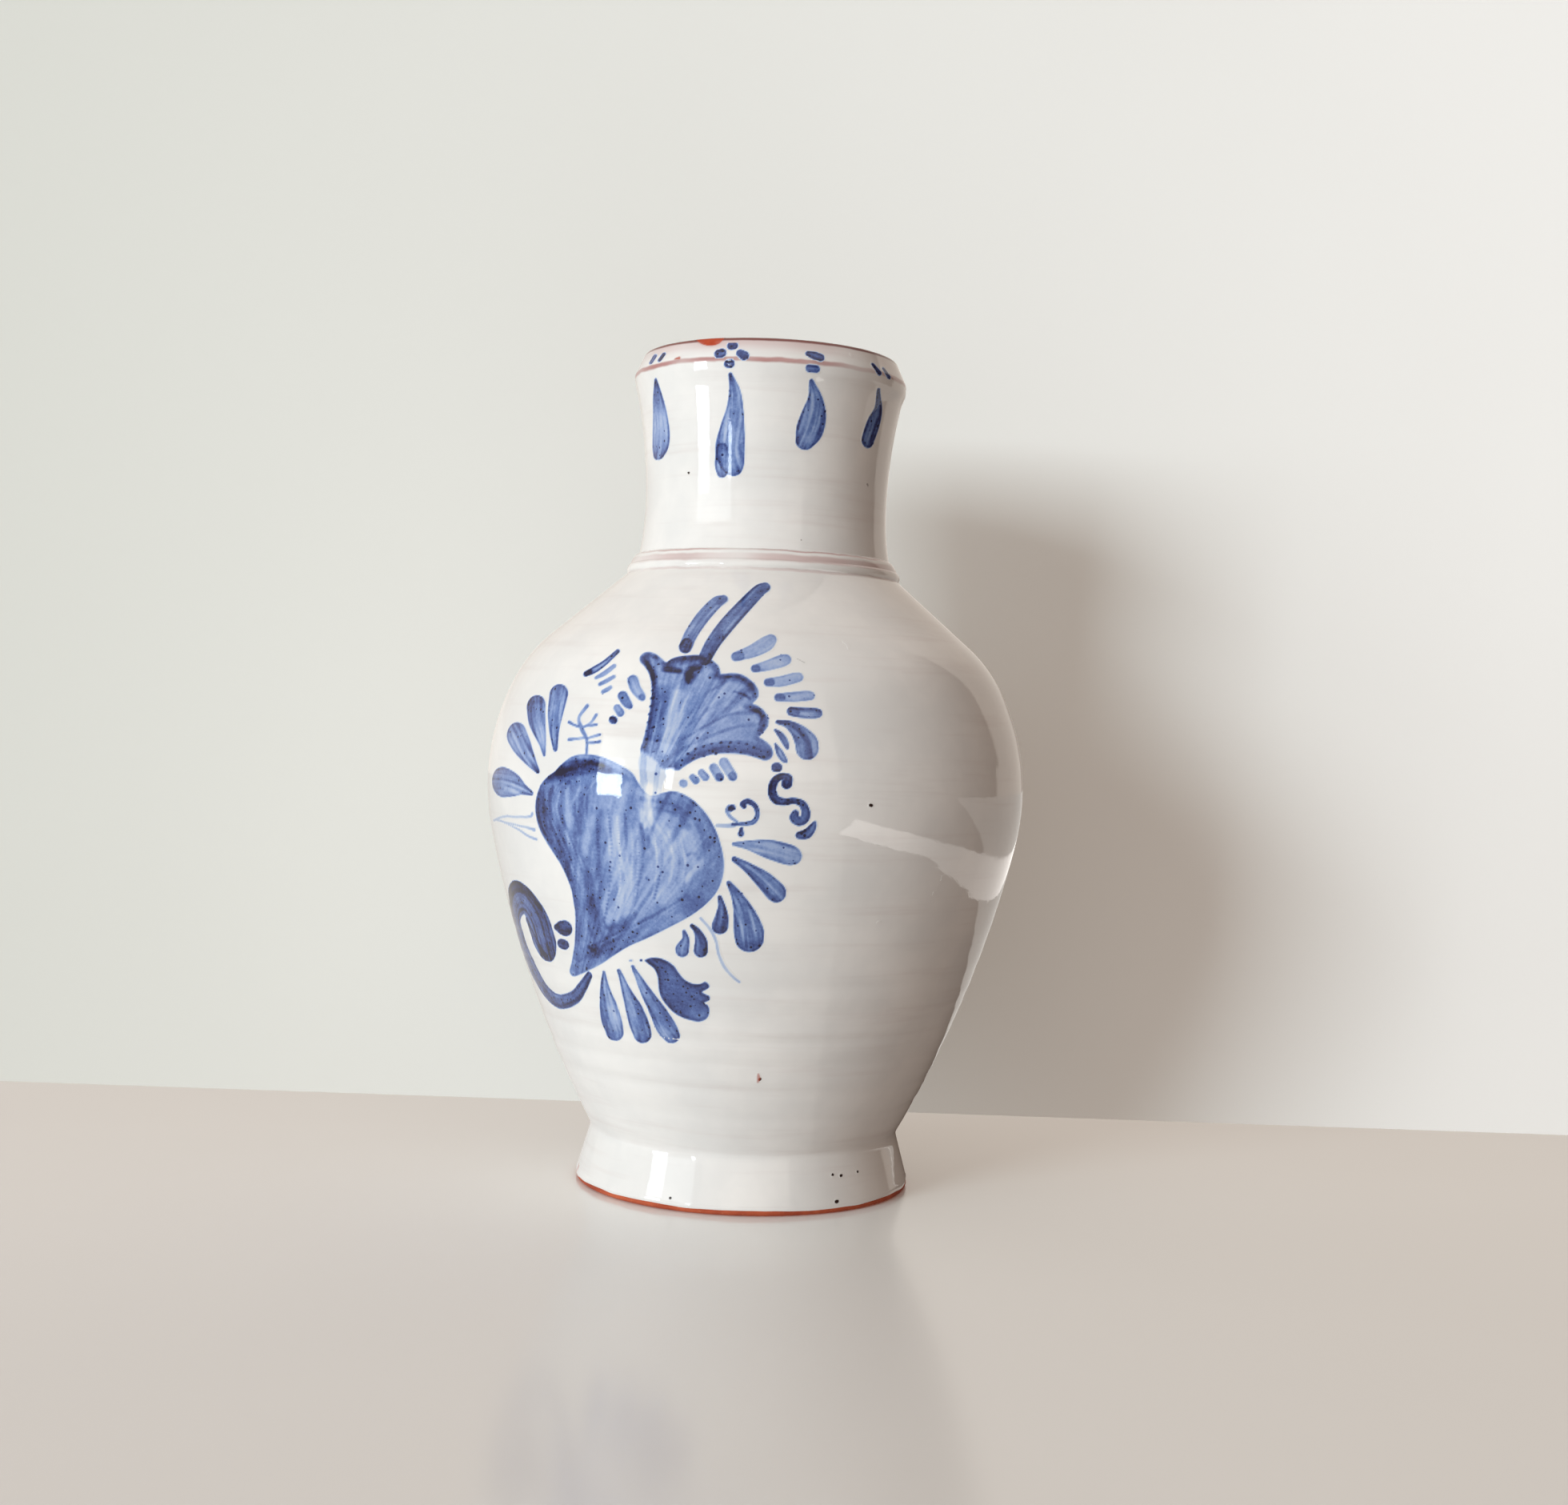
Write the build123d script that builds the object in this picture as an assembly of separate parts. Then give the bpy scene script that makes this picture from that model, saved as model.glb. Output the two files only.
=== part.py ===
from build123d import *
import os
from math import sqrt

# A wheel-thrown jar of red earthenware, dipped in white tin glaze. Lengths are millimetres and angles
# degrees. The jar stands on z = 0 and its axis is Z. Sizes are those of the fired clay under its glaze.

glaze_thickness = 0.4
bare_height = 2.4

# The foot: a flared ring, turned away beneath, with a soft groove where the belly begins
foot_radius = 61.0
foot_height = 19.6
foot_flare = 5.6
foot_land = 8.5
foot_edge_round = 1.2
groove_round = 3.0
recess_height = 11.0
recess_draft = 2.5
recess_round = 3.0

# The floor: a flat disc inside the foot ring
floor_thickness = 7.5
floor_radius = 34.0
floor_corner_round = 12.0

# The body: a long flank, a full belly and a shoulder that ends in a straight slope. Each curve is two
# arcs that meet smoothly, and a share says how much of it the first arc takes.
belly_radius = 97.2
flank_rise = 124.6
flank_angle = 28.56
flank_share = 0.866
shoulder_rise = 76.1
shoulder_share = 0.66
slope_angle = 49.17
slope_length = 35.9
body_wall = 5.5
throat_round = 8.0

# The neck and its bevelled rim
waist_radius = 43.7
waist_rise = 18.8
neck_rise = 64.8
neck_wall = 5.0
root_flare = 1.8
rim_flare = 5.7
arris_round = 0.8
bevel_rise = 7.6
bevel_width = 3.5
lip_land = 4.4
lip_round = 1.6
collar_depth = 4.0

# The cordon at the root of the neck: a bead below, then a sloping band set back above it
ledge_width = 1.3
ledge_rise = 0.4
band_width = 1.8
band_rise = 3.5
band_depth = 0.25
band_setback = 0.5
bead_rise = 3.0
bead_depth = 0.5

# Finger rings left low on the body: how many, and how far along the flank from the groove and apart
ring_count = 7
ring_margin = 15.5
ring_pitch = 10.5
ring_width = 4.5
ring_depth = 0.16

# Heights of the joints, from the foot up
floor_top = recess_height + floor_thickness
floor_middle = recess_height + floor_thickness / 2
belly_height = foot_height + flank_rise
bead_base_height = belly_height + shoulder_rise
bead_top_height = bead_base_height + bead_rise
band_top_height = bead_top_height + band_rise
root_height = band_top_height + ledge_rise
arris_height = root_height + neck_rise
lip_height = arris_height + bevel_rise


def heading(angle):
    """The direction that leans from straight up by an angle, outwards where the angle is positive."""
    return Vector(0, 1).rotate(Axis.Z, -angle)


def outward(way):
    """The direction square to a way up the wall, pointing out of the clay."""
    return Vector(way.Y, -way.X)


def smooth_joint(start, start_way, end, end_way, share):
    """Where two arcs between two points meet smoothly, and their common direction there."""
    chord = end - start
    mean_way = start_way * share + end_way * (1 - share)
    along = chord.dot(mean_way)
    straightness = 1 - mean_way.dot(mean_way)
    reach = (sqrt(along**2 + straightness * chord.dot(chord)) - along) / straightness
    first = start + start_way * (share * reach)
    last = end - end_way * ((1 - share) * reach)
    return first + (last - first) * share, (last - first).normalized()


def bulge(start, end, depth):
    """A shallow arc from one point up to another that swells outwards."""
    return ThreePointArc(start, (start + end) / 2 + outward((end - start).normalized()) * depth, end)


# Corners of the outline on the outside of the neck and the cordon, then inside the neck
waist = Vector(waist_radius, root_height + waist_rise)
root = Vector(waist_radius + root_flare, root_height)
band_top = Vector(root.X + ledge_width, band_top_height)
band_base = Vector(band_top.X + band_width, bead_top_height)
bead_top = Vector(band_base.X + band_setback, bead_top_height)
bead_base = Vector(bead_top.X, bead_base_height)
arris = Vector(waist_radius + rim_flare, arris_height)
lip = Vector(arris.X - bevel_width, lip_height)
mouth = Vector(lip.X - lip_land, lip_height)
bore_waist = Vector(waist_radius - neck_wall, waist.Y)

# Stations of the body wall: each a point on its outside and the way up the wall there
upright = heading(0)
groove = Vector(foot_radius - foot_flare, foot_height)
flank_way = heading(flank_angle)
belly = Vector(belly_radius, belly_height)
slope_way = heading(-slope_angle)
slope_base = bead_base - slope_way * slope_length
stations = [
    (groove, flank_way),
    smooth_joint(groove, flank_way, belly, upright, flank_share),
    (belly, upright),
    smooth_joint(belly, upright, slope_base, slope_way, shoulder_share),
    (slope_base, slope_way),
]
flank_joint = stations[1][0]
shoulder_joint = stations[3][0]


def body_curves(depth, base_height, top_radius):
    """The body wall at a depth below its outside, from a height at its foot to a radius at its top."""
    points = [point - outward(way) * depth for point, way in stations]
    arcs = [TangentArc(points[i], points[i + 1], tangent=stations[i][1]) for i in range(len(points) - 1)]
    centre = arcs[0].arc_center
    base_reach = sqrt(arcs[0].radius ** 2 - (centre.Y - base_height) ** 2)
    base = Vector(centre.X + base_reach, base_height)
    flank = TangentArc(base, points[1], tangent=(base - centre).rotate(Axis.Z, 90))
    top = points[-1] + slope_way * ((top_radius - points[-1].X) / slope_way.X)
    return [flank, *arcs[1:], Line(points[-1], top)]


def soften(face, corner, radius):
    """Round the one corner of a flat outline that lies at a point."""
    return fillet(face.vertices().sort_by_distance(corner)[0], radius)


def clay_outline():
    """Half of the clay jar, cut through its axis, as one flat face."""
    outside = body_curves(0, foot_height, bead_base.X)
    inside = body_curves(body_wall, floor_top, bore_waist.X)
    floor_corner = inside[0] @ 0
    throat = inside[-1] @ 1
    foot_corner = Vector(foot_radius, 0)
    land_edge = Vector(foot_radius - foot_land, 0)
    recess_corner = Vector(land_edge.X - recess_draft, recess_height)
    neck = [
        bulge(bead_base, bead_top, bead_depth),
        Line(bead_top, band_base),
        bulge(band_base, band_top, band_depth),
        Line(band_top, root),
        TangentArc(waist, root, tangent=-upright),
        TangentArc(waist, arris, tangent=upright),
        Polyline(arris, lip, mouth),
        TangentArc(bore_waist, mouth, tangent=upright),
        Line(bore_waist, throat),
    ]
    foot = Polyline(
        floor_corner, (0, floor_top), (0, recess_height), recess_corner, land_edge, foot_corner, groove
    )
    outline = make_face([*outside, *neck, *inside, foot])
    corners = [
        (foot_corner, foot_edge_round),
        (recess_corner, recess_round),
        (groove, groove_round),
        (floor_corner, floor_corner_round),
        (throat, throat_round),
        (arris, arris_round),
        (lip, lip_round),
        (mouth, lip_round),
    ]
    for corner, radius in corners:
        outline = soften(outline, corner, radius)
    return outline


def beside_wall(far_radius, base):
    """All that lies on one side of the middle of the clay wall: outside it, or within the jar."""
    neck_middle = waist_radius - neck_wall / 2
    wall = body_curves(body_wall / 2, floor_middle, neck_middle)
    crown = (lip + mouth) / 2
    above = lip_height + 2 * glaze_thickness
    top = [(neck_middle, waist.Y), crown, (crown.X, above), (far_radius, above)]
    return make_face([*wall, Polyline(wall[-1] @ 1, *top, *base, wall[0] @ 0)])


def ring_groove(along):
    """The round cutter of one finger ring, set into the glaze at a length up the flank."""
    flank = body_curves(0, foot_height, bead_base.X)[0]
    share = along / flank.length
    cutter = (ring_width**2 / 4 + ring_depth**2) / (2 * ring_depth)
    centre = flank @ share + outward(flank % share) * (glaze_thickness + cutter - ring_depth)
    return Pos(centre.X, centre.Y) * Circle(cutter)


def window(inner_radius, outer_radius, low, high):
    """A rectangle of the half section, from one radius to another and from one height to another."""
    size = (outer_radius - inner_radius, high - low)
    return Pos(inner_radius, low) * Rectangle(*size, align=(Align.MIN, Align.MIN))


far = belly_radius + body_wall
clay = clay_outline()
coat = offset(clay, glaze_thickness) - clay
outer_coat = coat & beside_wall(far, [(far, bare_height), (foot_radius - foot_land / 2, bare_height)])
for ring in range(ring_count):
    outer_coat -= ring_groove(ring_margin + ring * ring_pitch)

# The sections of the jar, each the part of the half outline from one joint to the next
sections = {
    "foot_ring": clay & window(floor_radius, far, 0, foot_height),
    "base_floor": clay & window(0, floor_radius, 0, belly_height),
    "lower_body": clay & window(floor_radius, far, foot_height, flank_joint.Y),
    "belly": clay & window(floor_radius, far, flank_joint.Y, shoulder_joint.Y),
    "shoulder": clay & window(0, far, shoulder_joint.Y, bead_base_height),
    "neck_cordon": clay & window(0, far, bead_base_height, root_height),
    "neck": clay & window(0, far, root_height, arris_height - collar_depth),
    "rim_collar": clay & window(0, far, arris_height - collar_depth, lip_height),
    "outer_glaze": outer_coat,
    "inner_glaze": coat & beside_wall(0, [(0, floor_middle)]),
}

os.makedirs("parts", exist_ok=True)
for name, section in sections.items():
    solid = revolve(Plane.XZ * section, Axis.Z)
    export_step(solid, f"parts/{name}.step")
    print(name, len(solid.solids()), round(solid.volume), "mm3")
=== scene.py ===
import bpy
import numpy as np
from mathutils import Matrix


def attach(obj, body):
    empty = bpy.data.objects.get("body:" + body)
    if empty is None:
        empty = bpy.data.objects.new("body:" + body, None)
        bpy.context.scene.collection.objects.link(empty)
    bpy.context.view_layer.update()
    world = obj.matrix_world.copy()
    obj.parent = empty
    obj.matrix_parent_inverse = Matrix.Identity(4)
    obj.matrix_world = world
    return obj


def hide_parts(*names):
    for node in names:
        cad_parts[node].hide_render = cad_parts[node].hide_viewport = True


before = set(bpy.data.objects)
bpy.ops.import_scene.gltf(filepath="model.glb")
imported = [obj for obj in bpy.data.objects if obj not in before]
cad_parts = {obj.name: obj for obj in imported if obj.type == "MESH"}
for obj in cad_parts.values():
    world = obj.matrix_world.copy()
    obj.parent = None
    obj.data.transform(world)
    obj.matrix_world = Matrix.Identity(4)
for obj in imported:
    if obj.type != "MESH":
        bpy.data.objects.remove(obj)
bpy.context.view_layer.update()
print("frame loaded,", len(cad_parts), "clay and glaze nodes")

mm = 0.001

# The jar's outside in millimetres, the same sizes as the turned clay. A point of the half outline is
# one complex number, radius + height * i.
jar = dict(
    footRadius=61.0, footFlare=5.6, footHeight=19.6, bareHeight=2.4,
    bellyRadius=97.2, flankRise=124.6, flankLean=28.56, flankShare=0.866,
    shoulderRise=76.1, shoulderShare=0.66, slopeLean=49.17, slopeLength=35.9,
    beadRise=3.0, beadDepth=0.5, bandSetback=0.5, bandWidth=1.8, bandRise=3.5, bandDepth=0.25,
    ledgeWidth=1.3, ledgeRise=0.4, rootFlare=1.8, waistRadius=43.7, waistRise=18.8,
    neckRise=64.8, rimFlare=5.7, bevelWidth=3.5, bevelRise=7.6, lipLand=4.4,
    glaze=0.4, clayGap=0.05, cornerSoftness=0.3, grooveSoftness=1.3, grooveReach=7.0, outlineStep=0.2,
)


def dot(a, b):
    return (a.conjugate() * b).real


def heading(degrees):
    return 1j * np.exp(-1j * np.radians(degrees))


def tangentArc(start, way, end):
    # start + chord * sin(a t) / sin(a) * e^(i a (1 - t)), where a turns the chord to the starting way
    chord = end - start
    a = np.angle(way / chord)
    t = np.linspace(0, 1, int(abs(chord) / jar["outlineStep"]) + 3)
    return start + chord * np.sin(a * t) / np.sin(a) * np.exp(1j * a * (1 - t))


def straight(start, end):
    return start + (end - start) * np.linspace(0, 1, int(abs(end - start) / jar["outlineStep"]) + 3)


def bulge(start, end, depth):
    # the arc whose middle stands a depth outside its chord: it starts 2 atan(2 depth / chord) outwards
    lean = 2 * np.arctan(2 * depth / abs(end - start))
    return tangentArc(start, (end - start) / abs(end - start) * np.exp(-1j * lean), end)


def smoothJoint(start, startWay, end, endWay, share):
    # where two arcs between two points meet smoothly, and their common way there
    chord = end - start
    mean = startWay * share + endWay * (1 - share)
    along, slack = dot(chord, mean), 1 - dot(mean, mean)
    reach = (np.sqrt(along**2 + slack * dot(chord, chord)) - along) / slack
    first = start + startWay * share * reach
    last = end - endWay * (1 - share) * reach
    return first + (last - first) * share, (last - first) / abs(last - first)


def clayOutline():
    j = jar
    groove = j["footRadius"] - j["footFlare"] + 1j * j["footHeight"]
    belly = j["bellyRadius"] + 1j * (groove.imag + j["flankRise"])
    cordonWidth = j["ledgeWidth"] + j["bandWidth"] + j["bandSetback"]
    beadRadius = j["waistRadius"] + j["rootFlare"] + cordonWidth
    beadBase = beadRadius + 1j * (belly.imag + j["shoulderRise"])
    beadTop = beadBase + 1j * j["beadRise"]
    bandBase = beadTop - j["bandSetback"]
    bandTop = bandBase - j["bandWidth"] + 1j * j["bandRise"]
    root = bandTop - j["ledgeWidth"] + 1j * j["ledgeRise"]
    waist = j["waistRadius"] + 1j * (root.imag + j["waistRise"])
    arris = j["waistRadius"] + j["rimFlare"] + 1j * (root.imag + j["neckRise"])
    lip = arris - j["bevelWidth"] + 1j * j["bevelRise"]
    slope = heading(-j["slopeLean"])
    slopeBase = beadBase - slope * j["slopeLength"]
    flankJoint, flankWay = smoothJoint(groove, heading(j["flankLean"]), belly, 1j, j["flankShare"])
    shoulderJoint, shoulderWay = smoothJoint(belly, 1j, slopeBase, slope, j["shoulderShare"])
    return np.concatenate([
        straight(j["footRadius"], groove),
        tangentArc(groove, heading(j["flankLean"]), flankJoint),
        tangentArc(flankJoint, flankWay, belly),
        tangentArc(belly, 1j, shoulderJoint),
        tangentArc(shoulderJoint, shoulderWay, slopeBase),
        straight(slopeBase, beadBase),
        bulge(beadBase, beadTop, j["beadDepth"]),
        straight(beadTop, bandBase),
        bulge(bandBase, bandTop, j["bandDepth"]),
        straight(bandTop, root),
        tangentArc(waist, -1j, root)[::-1],
        tangentArc(waist, 1j, arris),
        straight(arris, lip),
        straight(lip, lip - j["lipLand"] / 2),
    ])


def smeared(line, softness):
    # each point becomes the bell-weighted mean of the line about it, so glaze rounds every corner
    reach = int(4 * softness / jar["outlineStep"])
    weight = np.exp(-0.5 * (np.arange(-reach, reach + 1) * jar["outlineStep"] / softness) ** 2)
    padded = np.concatenate([
        2 * line[0] - line[reach:0:-1], line, 2 * line[-1] - line[-2:-reach - 2:-1]
    ])
    return np.convolve(padded, weight / weight.sum(), mode="valid")


corners = clayOutline()
run = np.concatenate([[0], np.cumsum(np.abs(np.diff(corners)))])
length = run[-1]
stations = np.arange(0, length, jar["outlineStep"])
line = np.interp(stations, run, corners.real) + 1j * np.interp(stations, run, corners.imag)
groove = jar["footRadius"] - jar["footFlare"] + 1j * jar["footHeight"]
grooveAt = stations[np.argmin(np.abs(line - groove))]
nearGroove = np.exp(-(((stations - grooveAt) / jar["grooveReach"]) ** 2))
crisp, soft = smeared(line, jar["cornerSoftness"]), smeared(line, jar["grooveSoftness"])
line = crisp * (1 - nearGroove) + soft * nearGroove
way = np.gradient(line)
outward = -1j * way / np.abs(way)
heights = np.maximum.accumulate(line.imag)
print("outline", round(length, 1), "mm long")


def lengthAt(z):
    # the length along the outline at a height; the tiny slope keeps level stretches in order
    return np.interp(z, heights + 1e-7 * stations, stations)


def outlineAt(at, lift):
    # radius and height of the point that stands a lift outside the outline at a length along it
    r = np.interp(at, stations, line.real) + np.interp(at, stations, outward.real) * lift
    z = np.interp(at, stations, line.imag) + np.interp(at, stations, outward.imag) * lift
    return r, z


def noise(u, v, cellsRound, cellsUp, seed, wraps=True):
    # random values on a lattice, joined by the smooth step t * t * (3 - 2 t); u wraps round, v doesn't
    table = np.random.default_rng(seed).random((cellsRound + 1, cellsUp + 2))
    if wraps:
        table[-1] = table[0]
    u = (u % 1 if wraps else np.clip(u, 0, 0.999999)) * cellsRound
    v = np.clip(v, 0, 0.999999) * cellsUp
    i, j = u.astype(int), v.astype(int)
    a, b = u - i, v - j
    a, b = a * a * (3 - 2 * a), b * b * (3 - 2 * b)
    low = table[i, j] * (1 - a) + table[i + 1, j] * a
    high = table[i, j + 1] * (1 - a) + table[i + 1, j + 1] * a
    return (low * (1 - b) + high * b) * 2 - 1


# Unevenness left by the thrower's fingers: depths in millimetres
throwing = dict(
    ringMargin=15.5, ringPitch=10.5, ringCount=13, ringDepth=0.26, ringWidth=2.0, wander=1.6,
    ridges=0.08, ridgesLeft=0.15, sway=0.16, bodyRise=8.0, bodyFall=60.0, fadeBase=80.0, fadeTop=122.0,
    rollHeight=288.6, rollWidth=2.2, roll=0.55, rollSway=0.45,
)


def relief(angle, at):
    # finger rings as bell-shaped dips that wander up and down, fine ridges, a slow sway of the wall, and a
    # bell-shaped roll just under the arris of the rim, fuller on the right
    t = throwing
    u, v = angle / (2 * np.pi), at / length
    wander = t["wander"] * noise(u, v, 7, 16, 3)
    dips = np.zeros_like(at)
    for ring in range(t["ringCount"]):
        centre = grooveAt + t["ringMargin"] + ring * t["ringPitch"]
        share = np.full_like(u, (ring + 0.5) / t["ringCount"])
        strength = 0.7 + 0.3 * noise(u, share, 9, t["ringCount"], 4)
        dips += strength * np.exp(-(((at - centre - wander) / t["ringWidth"]) ** 2))
    body = np.clip((at - grooveAt) / t["bodyRise"], 0, 1)
    body = body * np.clip((t["fadeTop"] + t["bodyFall"] - at) / t["bodyFall"], 0, 1)
    fade = np.clip((t["fadeTop"] - at) / (t["fadeTop"] - t["fadeBase"]), 0, 1)
    ridges = t["ridges"] * (noise(u, v, 5, 130, 5) + 0.6 * noise(u, v, 11, 210, 6))
    ridges = ridges * (t["ridgesLeft"] + (1 - t["ridgesLeft"]) * fade)
    sway = t["sway"] * (0.5 + 0.5 * noise(u, v, 4, 9, 7))
    z = np.interp(at, stations, line.imag)
    roll = t["roll"] * np.exp(-(((z - t["rollHeight"]) / t["rollWidth"]) ** 2))
    roll = roll * (1 - t["rollSway"] + t["rollSway"] * np.sin(angle))
    return body * (ridges - t["ringDepth"] * dips * fade + sway) + roll


def onJar(angle, at, lift):
    # the outline's point turned round the axis: x = r sin a, y = -r cos a, z = height
    r, z = outlineAt(at, lift)
    return np.stack([r * np.sin(angle), -r * np.cos(angle), z], axis=-1) * mm


def placed(name, data):
    item = bpy.data.objects.new(name, data)
    bpy.context.scene.collection.objects.link(item)
    return item


def makePiece(name, points, faces, material, values=None):
    mesh = bpy.data.meshes.new(name)
    mesh.vertices.add(len(points))
    mesh.vertices.foreach_set("co", points.astype(np.float32).ravel())
    mesh.loops.add(faces.size)
    mesh.loops.foreach_set("vertex_index", faces.astype(np.int32).ravel())
    mesh.polygons.add(len(faces))
    mesh.polygons.foreach_set("loop_start", np.arange(0, faces.size, faces.shape[1], dtype=np.int32))
    mesh.update(calc_edges=True)
    mesh.shade_smooth()
    for attribute, amounts in (values or {}).items():
        layer = mesh.attributes.new(attribute, "FLOAT", "POINT")
        layer.data.foreach_set("value", amounts.astype(np.float32))
    mesh.materials.append(material)
    return placed(name, mesh)


def dressed(piece):
    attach(piece, "root")
    print(piece.name, len(piece.data.polygons) * 2, "triangles")
    return piece


def colour(red, green, blue):
    # a colour as a picture shows it, made linear
    c = np.array([red, green, blue]) / 255
    linear = np.where(c <= 0.04045, c / 12.92, ((c + 0.055) / 1.055) ** 2.4)
    return (*linear.tolist(), 1.0)


class Nodes:
    # a short way to write a material's node tree
    def __init__(self, material):
        material.use_nodes = True
        self.tree = material.node_tree
        self.shader = self.tree.nodes["Principled BSDF"] if "Principled BSDF" in self.tree.nodes else None

    def add(self, kind, **settings):
        node = self.tree.nodes.new(kind)
        for key, value in settings.items():
            setattr(node, key, value)
        return node

    def join(self, source, target):
        self.tree.links.new(source, target)

    def put(self, value, socket):
        if isinstance(value, bpy.types.NodeSocket):
            self.join(value, socket)
        else:
            socket.default_value = value

    def math(self, operation, first, second=0.0, third=0.0, clamp=False):
        node = self.add("ShaderNodeMath", operation=operation, use_clamp=clamp)
        for value, socket in zip((first, second, third), node.inputs):
            self.put(value, socket)
        return node.outputs[0]

    def mix(self, amount, first, second, blend="MIX"):
        node = self.add("ShaderNodeMix", data_type="RGBA", blend_type=blend)
        self.put(amount, node.inputs[0])
        self.put(first, node.inputs[6])
        self.put(second, node.inputs[7])
        return node.outputs[2]

    def noise(self, vector, scale, detail=2.0, roughness=0.5):
        node = self.add("ShaderNodeTexNoise")
        self.join(vector, node.inputs["Vector"])
        node.inputs["Scale"].default_value = scale
        node.inputs["Detail"].default_value = detail
        node.inputs["Roughness"].default_value = roughness
        return node.outputs["Fac"]

    def between(self, value, low, high, toLow=0.0, toHigh=1.0):
        node = self.add("ShaderNodeMapRange", interpolation_type="SMOOTHSTEP")
        for item, socket in zip((value, low, high, toLow, toHigh), node.inputs):
            self.put(item, socket)
        return node.outputs[0]

    def stretched(self, vector, x, y, z):
        node = self.add("ShaderNodeMapping")
        self.join(vector, node.inputs["Vector"])
        node.inputs["Scale"].default_value = (x, y, z)
        return node.outputs[0]

    def coordinate(self, kind="Object"):
        return self.add("ShaderNodeTexCoord").outputs[kind]

    def attribute(self, name):
        return self.add("ShaderNodeAttribute", attribute_name=name).outputs["Fac"]

    def split(self, vector):
        node = self.add("ShaderNodeSeparateXYZ")
        self.join(vector, node.inputs[0])
        return node.outputs

    def scattered(self, place, scale):
        # cells about scattered points: the distance to a cell's own point, and two random numbers of it
        node = self.add("ShaderNodeTexVoronoi", feature="F1")
        self.join(place, node.inputs["Vector"])
        node.inputs["Scale"].default_value = scale
        chance = self.add("ShaderNodeSeparateColor")
        self.join(node.outputs["Color"], chance.inputs[0])
        return node.outputs["Distance"], chance.outputs[0], chance.outputs[1]

    def ramp(self, amount, stops):
        node = self.add("ShaderNodeValToRGB")
        while len(node.color_ramp.elements) < len(stops):
            node.color_ramp.elements.new(0.5)
        for element, (position, shade) in zip(node.color_ramp.elements, stops):
            element.position = position
            element.color = shade
        self.join(amount, node.inputs[0])
        return node.outputs["Color"]

    def finish(self, skin, roughness, height, strength, distance):
        # the shader's colour and roughness, and a bump of a distance in millimetres
        self.put(skin, self.shader.inputs["Base Color"])
        self.put(roughness, self.shader.inputs["Roughness"])
        bump = self.add("ShaderNodeBump")
        bump.inputs["Strength"].default_value = strength
        bump.inputs["Distance"].default_value = distance * mm
        self.join(height, bump.inputs["Height"])
        self.join(bump.outputs[0], self.shader.inputs["Normal"])


# The tin glaze: off-white, cobalt by the amount of pigment, red where it runs thin over an edge, and
# painted crease shade along the cordon
tinGlaze = dict(
    cool=colour(226, 224, 221), milk=colour(236, 233, 229), streaky=colour(214, 205, 201),
    thinRedAndCreaseShade=colour(164, 92, 88), ironRed=colour(112, 46, 38), rose=colour(190, 150, 148),
    clay=colour(192, 78, 44), deepClay=colour(150, 50, 26),
    pit=colour(48, 32, 28), speck=colour(110, 84, 66),
    # thin places and painted crease shade: the height of each, its half width and fade, and how red it is:
    # the arris and the cordon's band where the glaze runs thin, and painted shade in the creases at the
    # cordon's ledge and its foot
    edges=[
        (292.0, 0.35, 0.9, 0.9), (224.3, 0.8, 0.9, 0.42), (226.9, 0.1, 0.4, 0.6), (220.2, 0.1, 0.7, 0.3),
    ],
    blushFrom=293.0, blushTo=299.0, lipFrom=298.5, lipTo=299.2,
    washes=[
        (0.0, colour(233, 230, 226)), (0.12, colour(204, 210, 221)), (0.24, colour(176, 189, 213)),
        (0.37, colour(146, 165, 205)), (0.5, colour(108, 132, 183)), (0.64, colour(78, 98, 154)),
        (0.78, colour(57, 70, 123)), (0.9, colour(45, 48, 88)), (1.0, colour(38, 36, 58)),
    ],
    roughness=0.035, chipRoughness=0.8, peel=0.08, peelStrength=0.35, finePeel=0.3,
    # how fine each pattern is, in cells to the metre
    cloudScale=28.0, bandScale=(14.0, 14.0, 240.0), raggedScale=90.0, patchScale=22.0, speckScale=75.0,
    unevenScale=260.0, fineScale=1000.0, grainScale=620.0, chipScale=400.0, peelScale=160.0,
    finePeelScale=620.0,
    # from which to which value a pattern or a painted amount takes hold, then how strong it is there
    clouds=(0.35, 0.7), bands=(0.5, 0.8, 0.0, 0.42), thinAndCreasePatches=(0.3, 0.62, 0.15, 1.0),
    blushPatches=(0.35, 0.65, 0.08, 0.6), specks=(0.012, 0.03, 0.55, 0.0), grains=(0.4, 0.8, 0.1, 0.92),
    film=(0.0, 0.12), pits=(0.1, 0.6), chips=(0.2, 0.8),
    raggedness=1.6, lipRagged=0.3, lipStrength=0.95, speckChance=0.93, unevenness=0.55,
    grainLeast=0.14, grainSpread=0.24, grainCore=0.65, grainStrength=0.42,
)


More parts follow.
